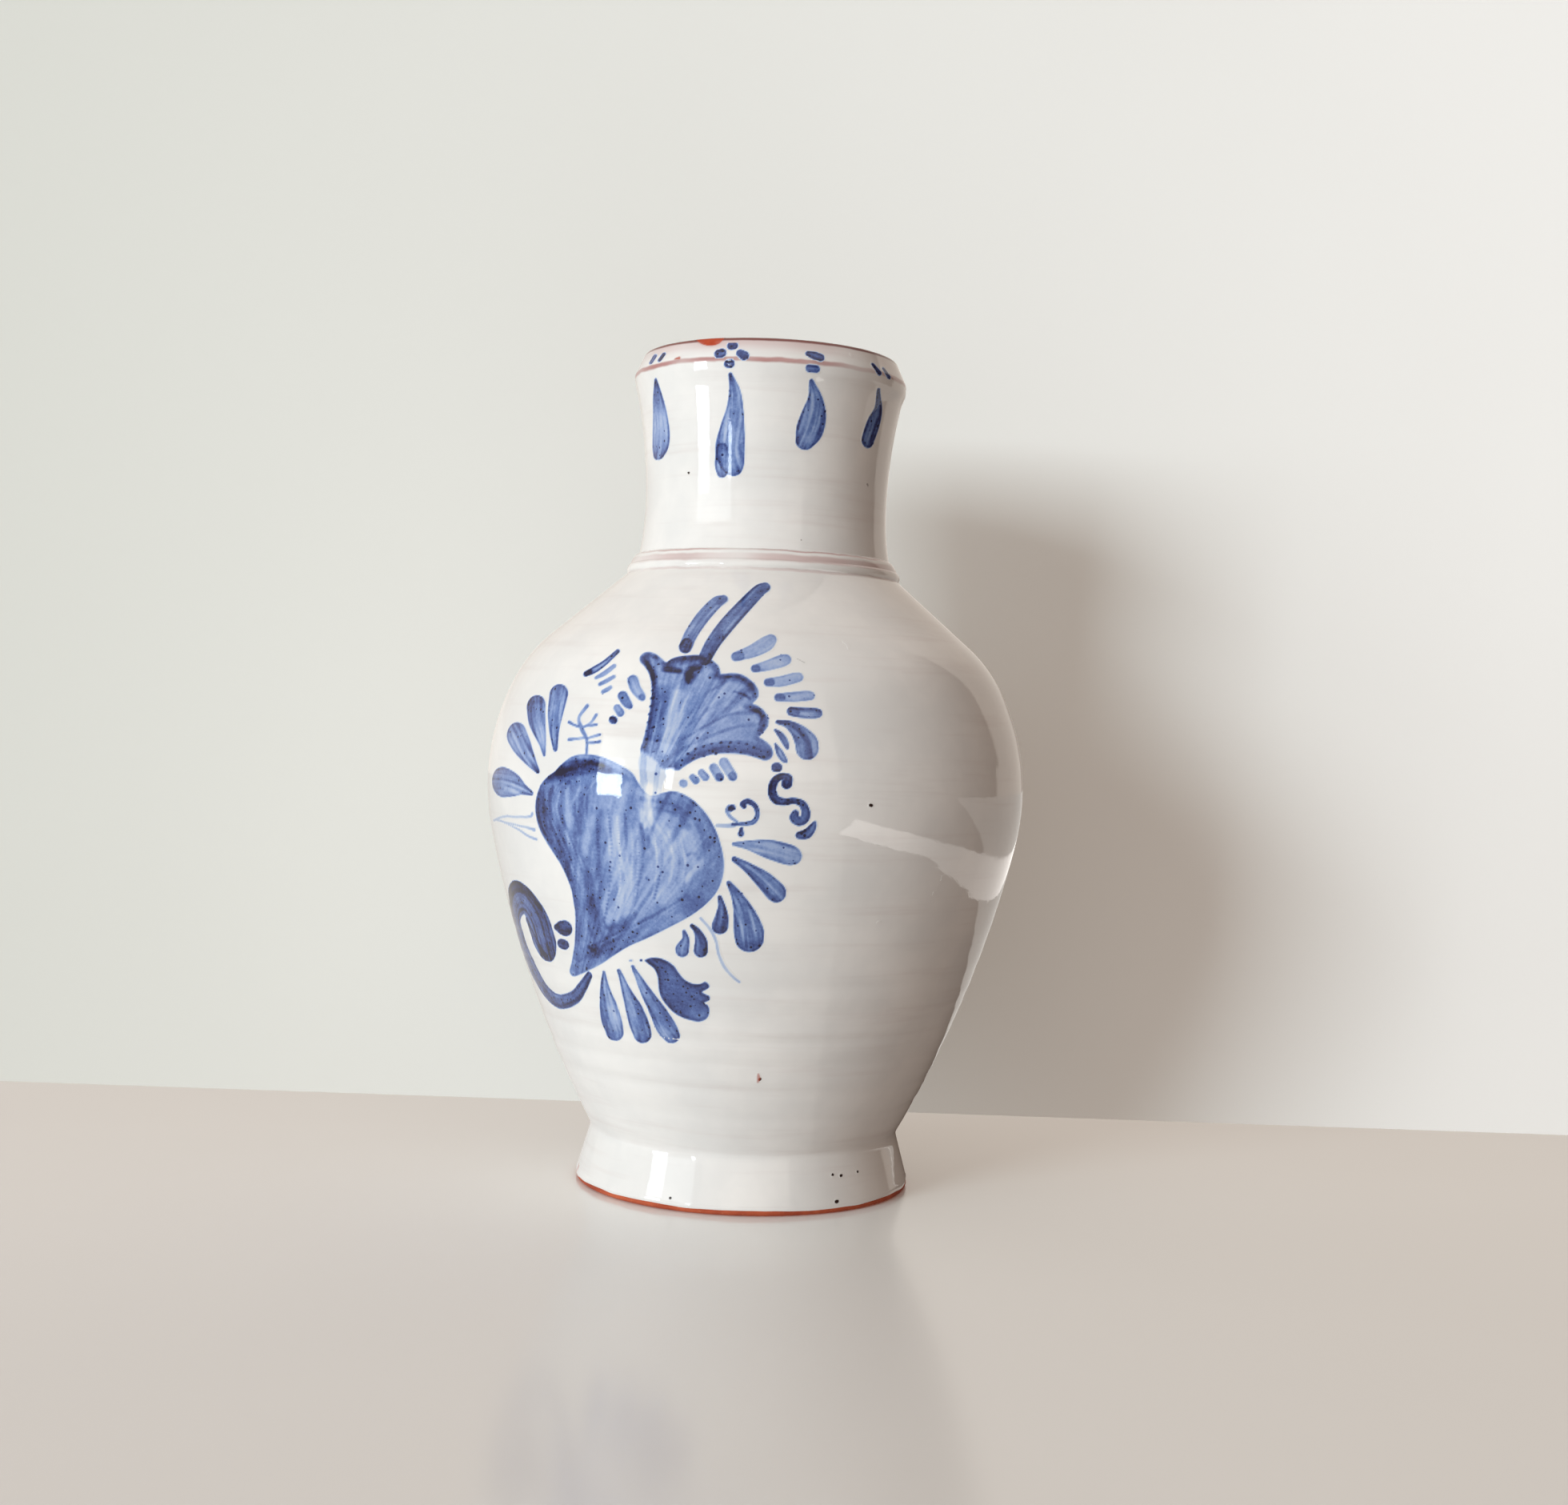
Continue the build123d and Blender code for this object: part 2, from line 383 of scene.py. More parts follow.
def paintedOver(n, place, ground):
    # cobalt: the painted amount, uneven at two sizes, with dark grains of ore where the paint is thick
    t = tinGlaze
    pigment = n.attribute("pigment")
    fine = n.noise(place, t["fineScale"], 3.0, 0.7)
    uneven = n.math("ADD", n.noise(place, t["unevenScale"], 3.0, 0.6), fine)
    uneven = n.math("MULTIPLY_ADD", uneven, t["unevenness"], 1 - t["unevenness"])
    amount = n.math("MULTIPLY", pigment, uneven)
    distance, chance, size = n.scattered(place, t["grainScale"])
    chosen = n.math("GREATER_THAN", n.between(pigment, *t["grains"]), chance)
    dotSize = n.math("MULTIPLY_ADD", size, t["grainSpread"], t["grainLeast"])
    core = n.math("MULTIPLY", dotSize, t["grainCore"])
    dotted = n.between(distance, core, dotSize, t["grainStrength"], 0.0)
    amount = n.math("ADD", amount, n.math("MULTIPLY", dotted, chosen))
    painted = n.mix(n.between(pigment, *t["film"]), ground, n.ramp(amount, t["washes"]))
    painted = n.mix(n.between(n.attribute("pit"), *t["pits"]), painted, t["pit"])

    # bare: terracotta that shows where the glaze has chipped
    bare = n.attribute("bare")
    chipped = n.mix(n.noise(place, t["chipScale"], 3.0), t["clay"], t["deepClay"])
    roughness = n.between(bare, *t["chips"], t["roughness"], t["chipRoughness"])
    return n.mix(bare, painted, chipped), roughness


def glazeMaterial(name, isPainted):
    t = tinGlaze
    material = bpy.data.materials.new(name)
    n = Nodes(material)
    place = n.coordinate()
    height = n.math("MULTIPLY", n.split(place)[2], 1 / mm)

    cloud = n.noise(place, t["cloudScale"], 4.0, 0.6)
    ground = n.mix(n.between(cloud, *t["clouds"]), t["cool"], t["milk"])
    # horizontal streaks, pinker and darker: partly the glaze's own streakiness, partly painted shade along
    # the throwing rings
    bands = n.noise(n.stretched(place, *t["bandScale"]), 1.0, 3.0, 0.6)
    ground = n.mix(n.between(bands, *t["bands"]), ground, t["streaky"])

    # red where the glaze is thin, and painted crease shade at the cordon's ledge and foot, on ragged and
    # patchy lines, and darkest on the lip
    ragged = n.math("SUBTRACT", n.noise(place, t["raggedScale"], 3.0), 0.5)
    ragged = n.math("MULTIPLY", ragged, t["raggedness"])
    patchy = n.noise(place, t["patchScale"], 2.0)
    thinAndCreaseShade = 0.0
    # the lines at the cordon's ledge and foot are painted crease shade, the arris and band are thin glaze
    for level, half, soft, strength in t["edges"]:
        away = n.math("ABSOLUTE", n.math("SUBTRACT", n.math("ADD", height, ragged), level))
        band = n.between(away, half, half + soft, strength, 0.0)
        thinAndCreaseShade = n.math("MAXIMUM", band, thinAndCreaseShade)
    thinAndCreaseShade = n.math("MULTIPLY", thinAndCreaseShade, n.between(patchy, *t["thinAndCreasePatches"]))
    ground = n.mix(thinAndCreaseShade, ground, t["thinRedAndCreaseShade"])
    blush = n.between(height, t["blushFrom"], t["blushTo"])
    blush = n.math("MULTIPLY", blush, n.between(patchy, *t["blushPatches"]))
    ground = n.mix(blush, ground, t["rose"])
    lipHeight = n.math("ADD", height, n.math("MULTIPLY", ragged, t["lipRagged"]))
    lipEdge = n.between(lipHeight, t["lipFrom"], t["lipTo"])
    ground = n.mix(n.math("MULTIPLY", lipEdge, t["lipStrength"]), ground, t["ironRed"])

    # iron specks: rare small cells of a scattered pattern
    distance, chance = n.scattered(place, t["speckScale"])[:2]
    rare = n.math("GREATER_THAN", chance, t["speckChance"])
    ground = n.mix(n.math("MULTIPLY", n.between(distance, *t["specks"]), rare), ground, t["speck"])

    skin, roughness = paintedOver(n, place, ground) if isPainted else (ground, t["roughness"])
    finePeel = n.math("MULTIPLY", n.noise(place, t["finePeelScale"], 2.0), t["finePeel"])
    peel = n.math("ADD", n.noise(place, t["peelScale"], 3.0), finePeel)
    n.finish(skin, roughness, peel, t["peelStrength"], t["peel"])
    return material


plainGlaze = glazeMaterial("tin_glaze_plain", False)
paintedGlaze = glazeMaterial("tin_glaze_painted", True)

# Outer glaze: one closed coat, its outside on fine rows and its clay side on some of the same rows
coat = dict(
    columns=288, rows=262, backRows=66,
    # how rows crowd: evenly, where the outline bends, and at the foot's edge
    evenly=1 / 1.5, bends=5.0, bendSoftness=0.8, atEdge=2.5, edgeAt=2.6, edgeReach=1.2,
    edgeDrop=0.6, edgeWave=0.5, edgeRoll=0.18, rollReach=1.1, edgeRound=0.45,
)


def glazeLift(angle, at, start):
    # full thickness, rolled thicker on a bell beside its lower edge, and rounded off on a quarter circle
    # to the least gap at the edge
    d = np.clip(at - start, 0, None)
    rounded = np.sqrt(1 - (1 - np.clip(d / coat["edgeRound"], 0, 1)) ** 2)
    roll = coat["edgeRoll"] * np.exp(-((d / coat["rollReach"]) ** 2))
    return np.maximum(jar["clayGap"], (jar["glaze"] + roll + relief(angle, at)) * rounded)


def edgeStart(angle):
    # the glaze stops on a wavy line just above the bare clay
    u = angle / (2 * np.pi)
    wave = noise(u, np.full_like(u, 0.5), 24, 1, 21) + 0.5 * noise(u, np.full_like(u, 0.5), 60, 1, 22)
    return lengthAt(jar["bareHeight"] - coat["edgeDrop"]) + coat["edgeWave"] * wave


def outerCoat():
    # onJar over rows that crowd where the outline bends; the sheet closes on itself round the axis and,
    # over both edges, with its clay side
    c = coat
    bend = np.abs(np.gradient(np.unwrap(np.angle(way)))) / jar["outlineStep"]
    nearEdge = np.exp(-(((stations - c["edgeAt"]) / c["edgeReach"]) ** 2))
    total = np.cumsum(c["evenly"] + c["bends"] * smeared(bend, c["bendSoftness"]) + c["atEdge"] * nearEdge)
    rows = np.interp(np.linspace(total[0], total[-1], c["rows"]), total, stations)
    back = rows[np.linspace(len(rows) - 1, 0, c["backRows"]).astype(int)]
    turn = np.linspace(0, 2 * np.pi, c["columns"], endpoint=False) - np.pi
    angle, at = np.meshgrid(turn, np.concatenate([rows, back]))
    start = edgeStart(angle)
    at = start + (at - rows[0]) * (length - start) / (length - rows[0])
    lift = glazeLift(angle, at, start)
    lift[len(rows):] = jar["clayGap"]
    points = onJar(angle, at, lift)
    count, columns = angle.shape
    i, j = np.meshgrid(np.arange(count), np.arange(columns), indexing="ij")
    up, across = (i + 1) % count, (j + 1) % columns
    i, up = i * columns, up * columns
    faces = np.stack([i + j, i + across, up + across, up + j], axis=-1)
    return points.reshape(-1, 3), faces.reshape(-1, 4)


outerGlaze = dressed(makePiece("outer_glaze_coat", *outerCoat(), plainGlaze))
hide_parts("outer_glaze")

# Brushes: how much cobalt a stroke leaves, how it pools at its rim and two ends, how streaky it is, how
# pale its middle is, and over how many millimetres its edge fades. A plain brush gives what isn't named.
plainBrush = dict(rim=0.0, heel=0.0, toe=0.0, streak=0.2, hollow=0.0, fade=0.4, rimWidth=0.42)
brushes = dict(
    petal=dict(tone=0.53, rim=0.14, heel=0.13, toe=0.12, streak=0.32, hollow=0.12),
    full=dict(tone=0.62, rim=0.1, heel=0.06, toe=0.08, streak=0.28, hollow=0.08),
    wash=dict(tone=0.43, rim=0.09, heel=0.06, toe=0.05, streak=0.24),
    pale=dict(tone=0.34, rim=0.07, heel=0.06, toe=0.03),
    bar=dict(tone=0.5, rim=0.08, heel=0.12, toe=0.06, streak=0.22),
    deep=dict(tone=0.66, rim=0.12, heel=0.1, toe=0.1, streak=0.26, hollow=0.06),
    dark=dict(tone=0.84, rim=0.08),
    heart=dict(tone=0.45, rim=0.09, fade=0.5),
    crest=dict(tone=0.46, rim=0.18, streak=0.24, fade=0.5, rimWidth=1.1),
    rich=dict(tone=0.74, rim=0.08, heel=0.05, toe=0.06, streak=0.26, hollow=0.05),
    tulip=dict(tone=0.52, rim=0.16, streak=0.36, fade=0.5, rimWidth=0.7),
    stem=dict(tone=0.2, rim=0.03, streak=0.5, fade=1.0),
    wane=dict(tone=-0.9, streak=0.1, fade=3.0),
    lift=dict(tone=-0.17, streak=0.6, fade=2.6),
    scratch=dict(tone=-0.13, streak=0.5, fade=0.9),
    shade=dict(tone=0.17, streak=0.55, fade=2.4),
    band=dict(tone=0.14, streak=0.3, fade=0.8),
    soft=dict(tone=0.13, streak=0.5, fade=2.2),
    dusk=dict(tone=0.3, streak=0.5, fade=1.8),
    glint=dict(tone=-0.09, streak=0.7, fade=2.4),
    vein=dict(tone=0.15, heel=0.05, streak=0.5, fade=0.9),
    blot=dict(tone=0.5, streak=0.5, fade=1.5),
    faint=dict(tone=0.22, rim=0.05, heel=0.03, toe=0.08),
    twig=dict(tone=0.38, rim=0.08, toe=0.1),
    knob=dict(tone=0.55, rim=0.06, streak=0.15, fade=0.6),
    cap=dict(tone=0.68, streak=0.15, fade=1.6),
    pool=dict(tone=0.9, streak=0.15),
)

# The spray on the belly, seen from the front: millimetres right of the axis and above the table. A
# brush comes with its strokes, each the line of a middle with its half width, or with the pivot of its
# streaks and one closed outline.
spray = dict(
    heart=[
        ("heart", (-60, 66), [(-35, 143.4), (-37.6, 146.2), (-40, 149.6), (-44, 151.9), (-50, 154.2),
         (-56, 155), (-61, 153.9), (-64.6, 151), (-66.6, 148.8), (-69, 147), (-71.6, 144.4), (-73, 141),
         (-73.7, 137), (-73.3, 133), (-72, 129), (-70, 125.6), (-67, 121.6), (-64, 117.6), (-61.5, 113),
         (-60, 109), (-59, 104), (-58.6, 99), (-58.8, 93), (-59.4, 88), (-60.2, 83.6), (-61, 80.6),
         (-59.6, 78.9), (-56.5, 80.2), (-53, 82.4), (-49, 85), (-44.5, 88.6), (-40, 91.9), (-35, 94.6),
         (-30, 97.4), (-26, 99.8), (-22, 102.2), (-18, 105), (-14, 108.6), (-11, 112.6), (-9.4, 117.4),
         (-9.2, 122), (-10, 126.4), (-12, 132), (-15, 137), (-18.6, 140.8), (-22, 143.1), (-26, 144.4),
         (-30, 143.6), (-32.6, 142.8)]),
    ],
    crest=[
        ("crest", (-38, 136), [(-30.6, 150.6), (-27.6, 151.2), (-25, 150.9), (-23, 152.3), (-20, 154.3),
         (-17, 155.6), (-13, 156.7), (-8, 157), (-3, 156.6), (0.5, 155.7), (2.6, 155.2), (4.3, 155.7),
         (5.2, 157.2), (5, 158.9), (3.8, 160.6), (1.8, 162), (0.6, 162.8), (1.7, 164), (3, 165.6),
         (3.5, 167.6), (3, 169.6), (1.6, 171.5), (-0.5, 172.9), (-1.7, 173.4), (-0.6, 174.7), (0, 176.2),
         (-0.3, 178), (-1.5, 179.8), (-3.5, 181.5), (-6, 182.8), (-9, 183.1), (-12.3, 182.7),
         (-12.7, 183.4), (-13.4, 185.2), (-15, 186.7), (-17, 188), (-20, 188.7), (-23, 188.6), (-27, 188),
         (-29.4, 187), (-30.8, 186), (-32.4, 187.3), (-34.5, 188.7), (-36.6, 189.4), (-38.6, 189),
         (-39.8, 187.5), (-39.5, 185.8), (-37.6, 184), (-36.2, 182), (-35.3, 179), (-35, 175),
         (-35.3, 170), (-36, 165), (-37, 160), (-37.8, 157), (-37.4, 154), (-35, 152)]),
    ],
    tulip=[
        ("tulip", (-40, 98), [(-34.4, 87.8), (-32.6, 88.8), (-30, 89.1), (-27, 88.3), (-24.5, 86.7),
         (-22.8, 84.4), (-20.8, 82.2), (-18, 81), (-15.6, 81.2), (-14.3, 82), (-13.1, 81.3),
         (-12.7, 80.1), (-13.8, 79.1), (-14.9, 78.4), (-13.8, 77.7), (-12.6, 77.2), (-12.4, 76),
         (-13.2, 75.2), (-14.1, 74.7), (-13, 73.9), (-12.4, 72.3), (-12.6, 70.3), (-13.8, 68.7),
         (-16, 67.9), (-19, 68.3), (-22, 69.2), (-25, 71), (-27.7, 74), (-29.2, 77), (-29.7, 80),
         (-30.1, 83), (-31.2, 85.2), (-33.2, 86.7)]),
    ],
    heartShading=[
        ("band", [(-27, 142.2, 2.2), (-21, 139.4, 2.7), (-16.4, 134.6, 3), (-13.6, 128, 3.2),
         (-12.8, 120.6, 3.3), (-14.8, 113, 3.4), (-20, 106.6, 3.2), (-27, 101.6, 3), (-36, 96.4, 2.8),
         (-45, 91.4, 2.8), (-52.6, 86.4, 2.6), (-58, 82, 2)], [(-65, 121.6, 1.4), (-62, 116, 2.4),
         (-58, 107, 2.6), (-56.8, 96, 2.2), (-57.6, 86, 1.8)]),
        ("soft", [(-60, 128, 2.6), (-56, 117, 2.8), (-53, 107, 2.6), (-52.4, 98, 2.4), (-54, 90, 2)]),
        ("band", [(-71.6, 141, 1.4), (-71, 134, 2.2), (-67, 126.6, 2.4), (-63.6, 121, 1.8),
         (-60, 113, 1.2)]),
        ("dusk", [(-71.4, 143, 1.8), (-71.6, 137, 2.4), (-70.8, 131, 2.2), (-67.6, 125, 1.6),
         (-64.6, 120, 1)], [(-70, 145.6, 2), (-65.6, 148.8, 2.4), (-61, 150.6, 2), (-56, 151.6, 1.8),
         (-50, 151.8, 1.4)]),
        ("blot", [(-66.6, 147.6, 0.8), (-64, 148.6, 1.3), (-61, 149.8, 0.9)]),
        ("soft", [(-68, 140, 2.6), (-64, 146.6, 3), (-57, 150, 3.4), (-49, 150, 3), (-42, 147.6, 2.4)]),
        # the pale notch where the stem crosses the heart: partly the stem's pale wash, partly a painted
        # highlight
        ("lift", [(-34.6, 143, 4.6), (-34.6, 138.6, 4), (-34.4, 134, 3)], [(-34.4, 142, 3),
         (-34, 138, 2.6)]),
        ("shade", [(-69, 143, 3), (-68, 136, 4.4), (-65, 128, 4.4), (-61, 120, 3)], [(-65, 148, 2.6),
         (-59, 146, 4.4), (-58, 138, 4), (-58, 130, 3)]),
        ("dusk", [(-68, 147, 2.6), (-62, 150, 3.2), (-55, 151, 3), (-48, 150, 2)], [(-72.8, 141, 1.3),
         (-73, 136, 1.5), (-71.6, 130.6, 1.3), (-68, 124.6, 1)]),
        ("shade", [(-62.4, 118, 2), (-60, 110, 2.6), (-58.4, 102, 2.2), (-58.4, 92, 2)], [(-53, 106, 3),
         (-51, 98, 4.4), (-48, 93, 4), (-52, 88, 3)], [(-54.4, 120, 2), (-53.6, 112, 2.6), (-54, 102, 2)],
         [(-40, 98, 2.4), (-46, 94, 2.8), (-52, 90, 2.6)], [(-36, 139.6, 2.4), (-30, 139.4, 2.6),
         (-24.6, 137.6, 2.6), (-21, 133, 2)]),
        ("vein", [(-67.4, 143.4, 0.9), (-68.6, 137, 1.2), (-66, 130, 1.2), (-61.6, 123.6, 0.9),
         (-58, 114, 0.7)], [(-61.6, 145.6, 0.8), (-64.4, 140, 1), (-63.6, 133, 1), (-60.4, 127, 0.8),
         (-56.6, 117, 0.7)]),
        ("glint", [(-66, 146, 1.2), (-66.4, 139, 1.2), (-64, 131.6, 1.2), (-60, 124, 0.9)],
         [(-58, 143, 2.2), (-60.4, 137, 2), (-59, 130, 1.6)]),
        ("soft", [(-36, 141.4, 2), (-30, 140.6, 2.4), (-25, 139.4, 2.2), (-21, 136, 2)]),
        ("glint", [(-46, 133, 3.4), (-44, 122, 4.4), (-41, 110, 4), (-43, 101, 3)], [(-33, 134, 4),
         (-28, 126, 5), (-25, 117, 5.6), (-29, 110, 4)], [(-21.4, 130, 3), (-19, 122, 2.4),
         (-20, 116, 2.6)]),
        ("soft", [(-50, 136, 2), (-50.6, 126, 2.2), (-50, 114, 2), (-50, 102, 1.8), (-51.6, 92, 1.6)]),
        ("vein", [(-47.6, 137, 0.6), (-46.4, 126, 0.8), (-46.6, 112, 0.8), (-48.6, 98, 0.7)],
         [(-42, 136, 0.6), (-41.4, 128, 0.9), (-41.8, 121, 0.7)], [(-36.6, 133, 1), (-35.6, 127, 0.9),
         (-36, 118, 0.7), (-38, 106, 0.6)], [(-34.6, 131.6, 0.7), (-33.4, 125, 0.6)], [(-29.6, 128, 0.6),
         (-29.4, 120, 0.6), (-31.4, 109, 0.7)], [(-21, 124, 0.8), (-19.2, 124.6, 0.7),
         (-17.6, 123, 0.7)]),
        ("soft", [(-36, 100.6, 1.6), (-29, 105, 1.8), (-22, 110, 1.8), (-18, 116, 1.4)]),
        ("vein", [(-45, 95.6, 0.8), (-36, 100.6, 0.8), (-28, 105.6, 0.7)]),
        ("blot", [(-34.4, 115.6, 0.7), (-33.6, 115, 0.6)]),
        ("shade", [(-47, 98, 2), (-42.4, 100, 2.6), (-37.6, 102.6, 2)]),
        ("soft", [(-46, 97, 2), (-40, 100, 2)]),
        ("scratch", [(-47.6, 134, 0.5), (-46.6, 124, 0.8), (-46.4, 112, 0.7), (-48.6, 102, 0.5)],
         [(-44.6, 135, 0.5), (-43.6, 126, 0.7), (-43, 114, 0.8), (-44.6, 104, 0.5)], [(-40.2, 133, 0.6),
         (-39.2, 124, 0.7), (-39.4, 114, 0.7), (-41, 106, 0.5)], [(-37.8, 131, 0.4), (-37.2, 121, 0.6),
         (-37.8, 110, 0.5)], [(-32, 130, 0.5), (-31, 121, 0.8), (-31.8, 112, 0.6), (-34, 106, 0.4)],
         [(-27.4, 131, 0.5), (-25.8, 123, 0.8), (-26.6, 115, 0.6), (-30, 108, 0.4)], [(-23.4, 129, 0.5),
         (-21.8, 122, 0.7), (-22.6, 115, 0.5)], [(-69.4, 141, 0.5), (-68, 133, 0.7), (-64, 126, 0.6),
         (-60.4, 118, 0.5), (-58, 107, 0.5)], [(-64.4, 143, 0.5), (-65.6, 136, 0.7), (-62.6, 129, 0.6),
         (-58.4, 121, 0.5), (-55.6, 110, 0.5)], [(-52, 147, 0.5), (-55.6, 141, 0.6), (-55.4, 134, 0.6),
         (-53.6, 126, 0.5)]),
        ("vein", [(-51.4, 133, 0.5), (-50.6, 122, 0.7), (-50.2, 110, 0.6)], [(-24.6, 129, 0.4),
         (-23.6, 121, 0.6), (-24.6, 114, 0.5)]),
        ("blot", [(-54, 90.4, 1), (-52, 89.6, 1.1), (-51.2, 91, 0.8)]),
        ("soft", [(-55, 88, 2.4), (-50, 88.6, 2), (-45, 90.6, 1.6)]),
    ],
    crestShading=[
        ("lift", [(-29.4, 158, 3), (-27.4, 166, 3.6), (-26, 175, 3.4)]),
        ("wane", [(-41, 146, 12), (-36.5, 141, 12.8), (-34, 135, 12)]),
        ("glint", [(-23, 163, 1.8), (-17, 171, 2), (-13, 177, 1.8)], [(-18, 163, 1.4), (-11, 168.6, 1.6),
         (-6, 171.6, 1.4)]),
        ("band", [(-36.4, 158, 1.3), (-34.6, 166, 1.6), (-33.8, 174, 1.6), (-34.6, 181, 1.5)]),
        ("soft", [(-33, 158, 2.4), (-32, 168, 2.4), (-32, 177, 2.4)]),
        ("band", [(-25, 152.6, 1.8), (-17, 157.6, 2), (-8, 159.4, 2.2), (-1, 158.8, 2.4),
         (3, 157.6, 1.8)]),
        ("soft", [(-17, 157.4, 1.2), (-11, 158.8, 2), (-4, 159, 2.4), (1, 158, 2.2), (4, 157.6, 1.6)],
         [(-1.6, 158.8, 0.9), (1.6, 158.2, 1.3), (3.8, 157.8, 1)]),
        ("vein", [(-24, 158, 0.6), (-15, 162.4, 0.8), (-7, 165.6, 0.8), (-1, 166.6, 1)], [(-24, 161, 0.6),
         (-16, 166, 0.8), (-9, 169.6, 0.8), (-2, 170.4, 1)], [(-23, 165, 0.6), (-16, 171, 0.9),
         (-11, 174.4, 1)], [(-22, 169, 0.6), (-17, 176, 0.7), (-12, 179, 0.6)]),
        ("soft", [(-16, 181.6, 1.6), (-11, 181.8, 1.6), (-6, 181.2, 1.6), (-2.6, 178.6, 1.4),
         (-1.6, 175.6, 1.2)], [(-15, 181, 0.8), (-11, 181.6, 0.8), (-7, 181.2, 0.8), (-4.4, 179.8, 0.6)]),
        ("blot", [(-8, 177, 0.6), (-5, 176.2, 0.9), (-3, 175, 0.7)]),
        ("soft", [(-4, 172, 1.6), (0, 171, 1.8), (1.8, 168, 1.6), (0.6, 164.6, 1.4)]),
        ("blot", [(-2.6, 171.4, 0.8), (0, 170.8, 1), (1.2, 168.8, 0.8), (0.4, 166.6, 0.7)],
         [(-31.4, 183.6, 1.2), (-28.6, 183.7, 1.7), (-25.8, 183.2, 1.2)], [(-22.8, 180.4, 2),
         (-22.2, 182.8, 2.7), (-20, 184.2, 2)], [(-22.6, 182, 1.9)]),
        ("shade", [(-31, 185.4, 2), (-26, 186.4, 2.2), (-20.6, 186.6, 2.2), (-16, 184.8, 1.8),
         (-14, 181.6, 1.4)]),
        ("dusk", [(-12, 180.4, 1.6), (-7.6, 181.2, 1.6), (-3.4, 179.2, 1.6), (-2, 176, 1.4)],
         [(-4, 172.4, 1.2), (-0.6, 171.4, 1.8), (1.6, 168.4, 1.8), (1, 165, 1.4)], [(-37.6, 186.4, 2),
         (-35.6, 182.6, 1.8), (-34.4, 178, 1.2)]),
        ("soft", [(-30, 185.6, 1.8), (-25, 186.6, 2), (-20, 187, 2), (-15.6, 185.4, 1.8),
         (-13.4, 182, 1.4)]),
        ("blot", [(-30, 186.6, 0.6), (-25, 187.7, 0.7), (-20, 187.9, 0.8), (-16.6, 186.6, 0.7)],
         [(-38.8, 187.2, 0.9), (-37, 188.2, 0.8), (-34, 187.6, 0.6)], [(-37, 185, 1), (-35.8, 183, 1.3),
         (-34.8, 180.4, 1)]),
        ("soft", [(-31, 152, 1.4), (-26.6, 156, 1.6), (-22, 159, 1.2)]),
    ],
    crestGrains=[
        (-22.3, 156.5), (-19.8, 158.1), (-17.2, 158.9), (-14.6, 159.9), (-11.7, 160.5), (-8.7, 160.6),
        (-6, 160.5), (-3.5, 160.2), (-1.2, 159.3), (-20.6, 155), (-17, 155.9), (-13.2, 156.9),
        (-9.3, 157.5), (-5.3, 157.5), (-1.4, 156.9), (1.9, 156.4), (-35.8, 160.6), (-36, 163.2),
        (-35.6, 166), (-35.3, 168.7), (-35.1, 171.3), (-34.9, 173.9), (-34.8, 176.5), (-36.4, 158),
        (-33.6, 156.7), (-34, 164.4), (-33.2, 170.2), (-32.4, 160.2), (-37.4, 185.6), (-35.4, 187.4),
        (-33.4, 185.2), (-29, 186.7), (-24.6, 187.2), (-18.4, 186.9), (-10.4, 181.8), (-5.4, 180.9),
        (-2, 178), (-1, 170.9), (1.6, 169.6), (1.8, 166.4), (0.6, 163.6),
    ],
    upright=[
        ("bar", [(-24.7, 191.2, 2.2), (-23, 196, 2.3), (-19.6, 202, 2.4), (-15.6, 207, 2.2),
         (-13.2, 208.5, 1.5)]),
        ("full", [(-18.2, 187.4, 2.2), (-15.6, 193, 2.5), (-11.4, 199.4, 2.7), (-6.6, 205.6, 2.6),
         (-1.6, 211.6, 2.3), (0.7, 213.3, 1.8)]),
    ],
    ladder=[
        ("pale", [(-7.7, 188.7, 1.6), (-3, 190.4, 2.2), (1.4, 193, 2.6), (3.2, 194.6, 2)],
         [(-1.6, 184.8, 1.4), (2.6, 186, 1.8), (6.6, 187.5, 2.1), (8.2, 188.1, 1.9)], [(2.7, 180.4, 1.4),
         (7, 180.9, 1.8), (11, 182.1, 1.8), (12.6, 182.5, 1.6)], [(6.2, 175.6, 1.4), (11, 176, 1.7),
         (15, 176.5, 1.7), (16.6, 176.6, 1.5)]),
        ("full", [(10.6, 171.3, 1.5), (14, 171, 1.7), (18, 171, 1.7), (19.2, 171, 1.5)]),
        ("wash", [(-41.5, 179.6, 1.9), (-40.4, 177, 1.8), (-38.4, 174.6, 1.5)], [(-44.6, 174.4, 1.7),
         (-43.2, 172.4, 1.6), (-42, 171.2, 1.1)]),
        ("twig", [(-46.2, 170.4, 1.3), (-45, 168.9, 1.4)]),
        ("deep", [(-47.5, 166.5, 1.3), (-47.1, 166.3, 1.3)]),
        ("pale", [(-23.3, 147, 1.3), (-23, 146.9, 1.3)]),
        ("twig", [(-20.3, 149, 1.1), (-19.2, 148.1, 1.3)], [(-17.5, 150.6, 1.2), (-16.2, 149.2, 1.3)]),
        ("pale", [(-13.6, 152.3, 1.5), (-11.7, 149.5, 1.6)], [(-10.4, 154.1, 1.7), (-7.5, 149.9, 1.6)]),
    ],
    stemWash=[
        ("stem", (-36, 176), [(-38.4, 154), (-38, 150), (-37.7, 147.6), (-37.8, 143.5), (-37.2, 139.5),
         (-35.6, 136.6), (-32.4, 136.4), (-30.6, 138.5), (-29.8, 143.5), (-29, 147.6), (-26, 151.4),
         (-28.6, 155.4), (-34, 157.6), (-37, 157.2)]),
        ("faint", [(-36.4, 156, 0.9), (-36.4, 150, 1.2), (-35.4, 144, 1.1), (-34.6, 140, 0.9)],
         [(-31.4, 153, 0.8), (-32, 148, 1), (-32.4, 143, 0.8)]),
    ],
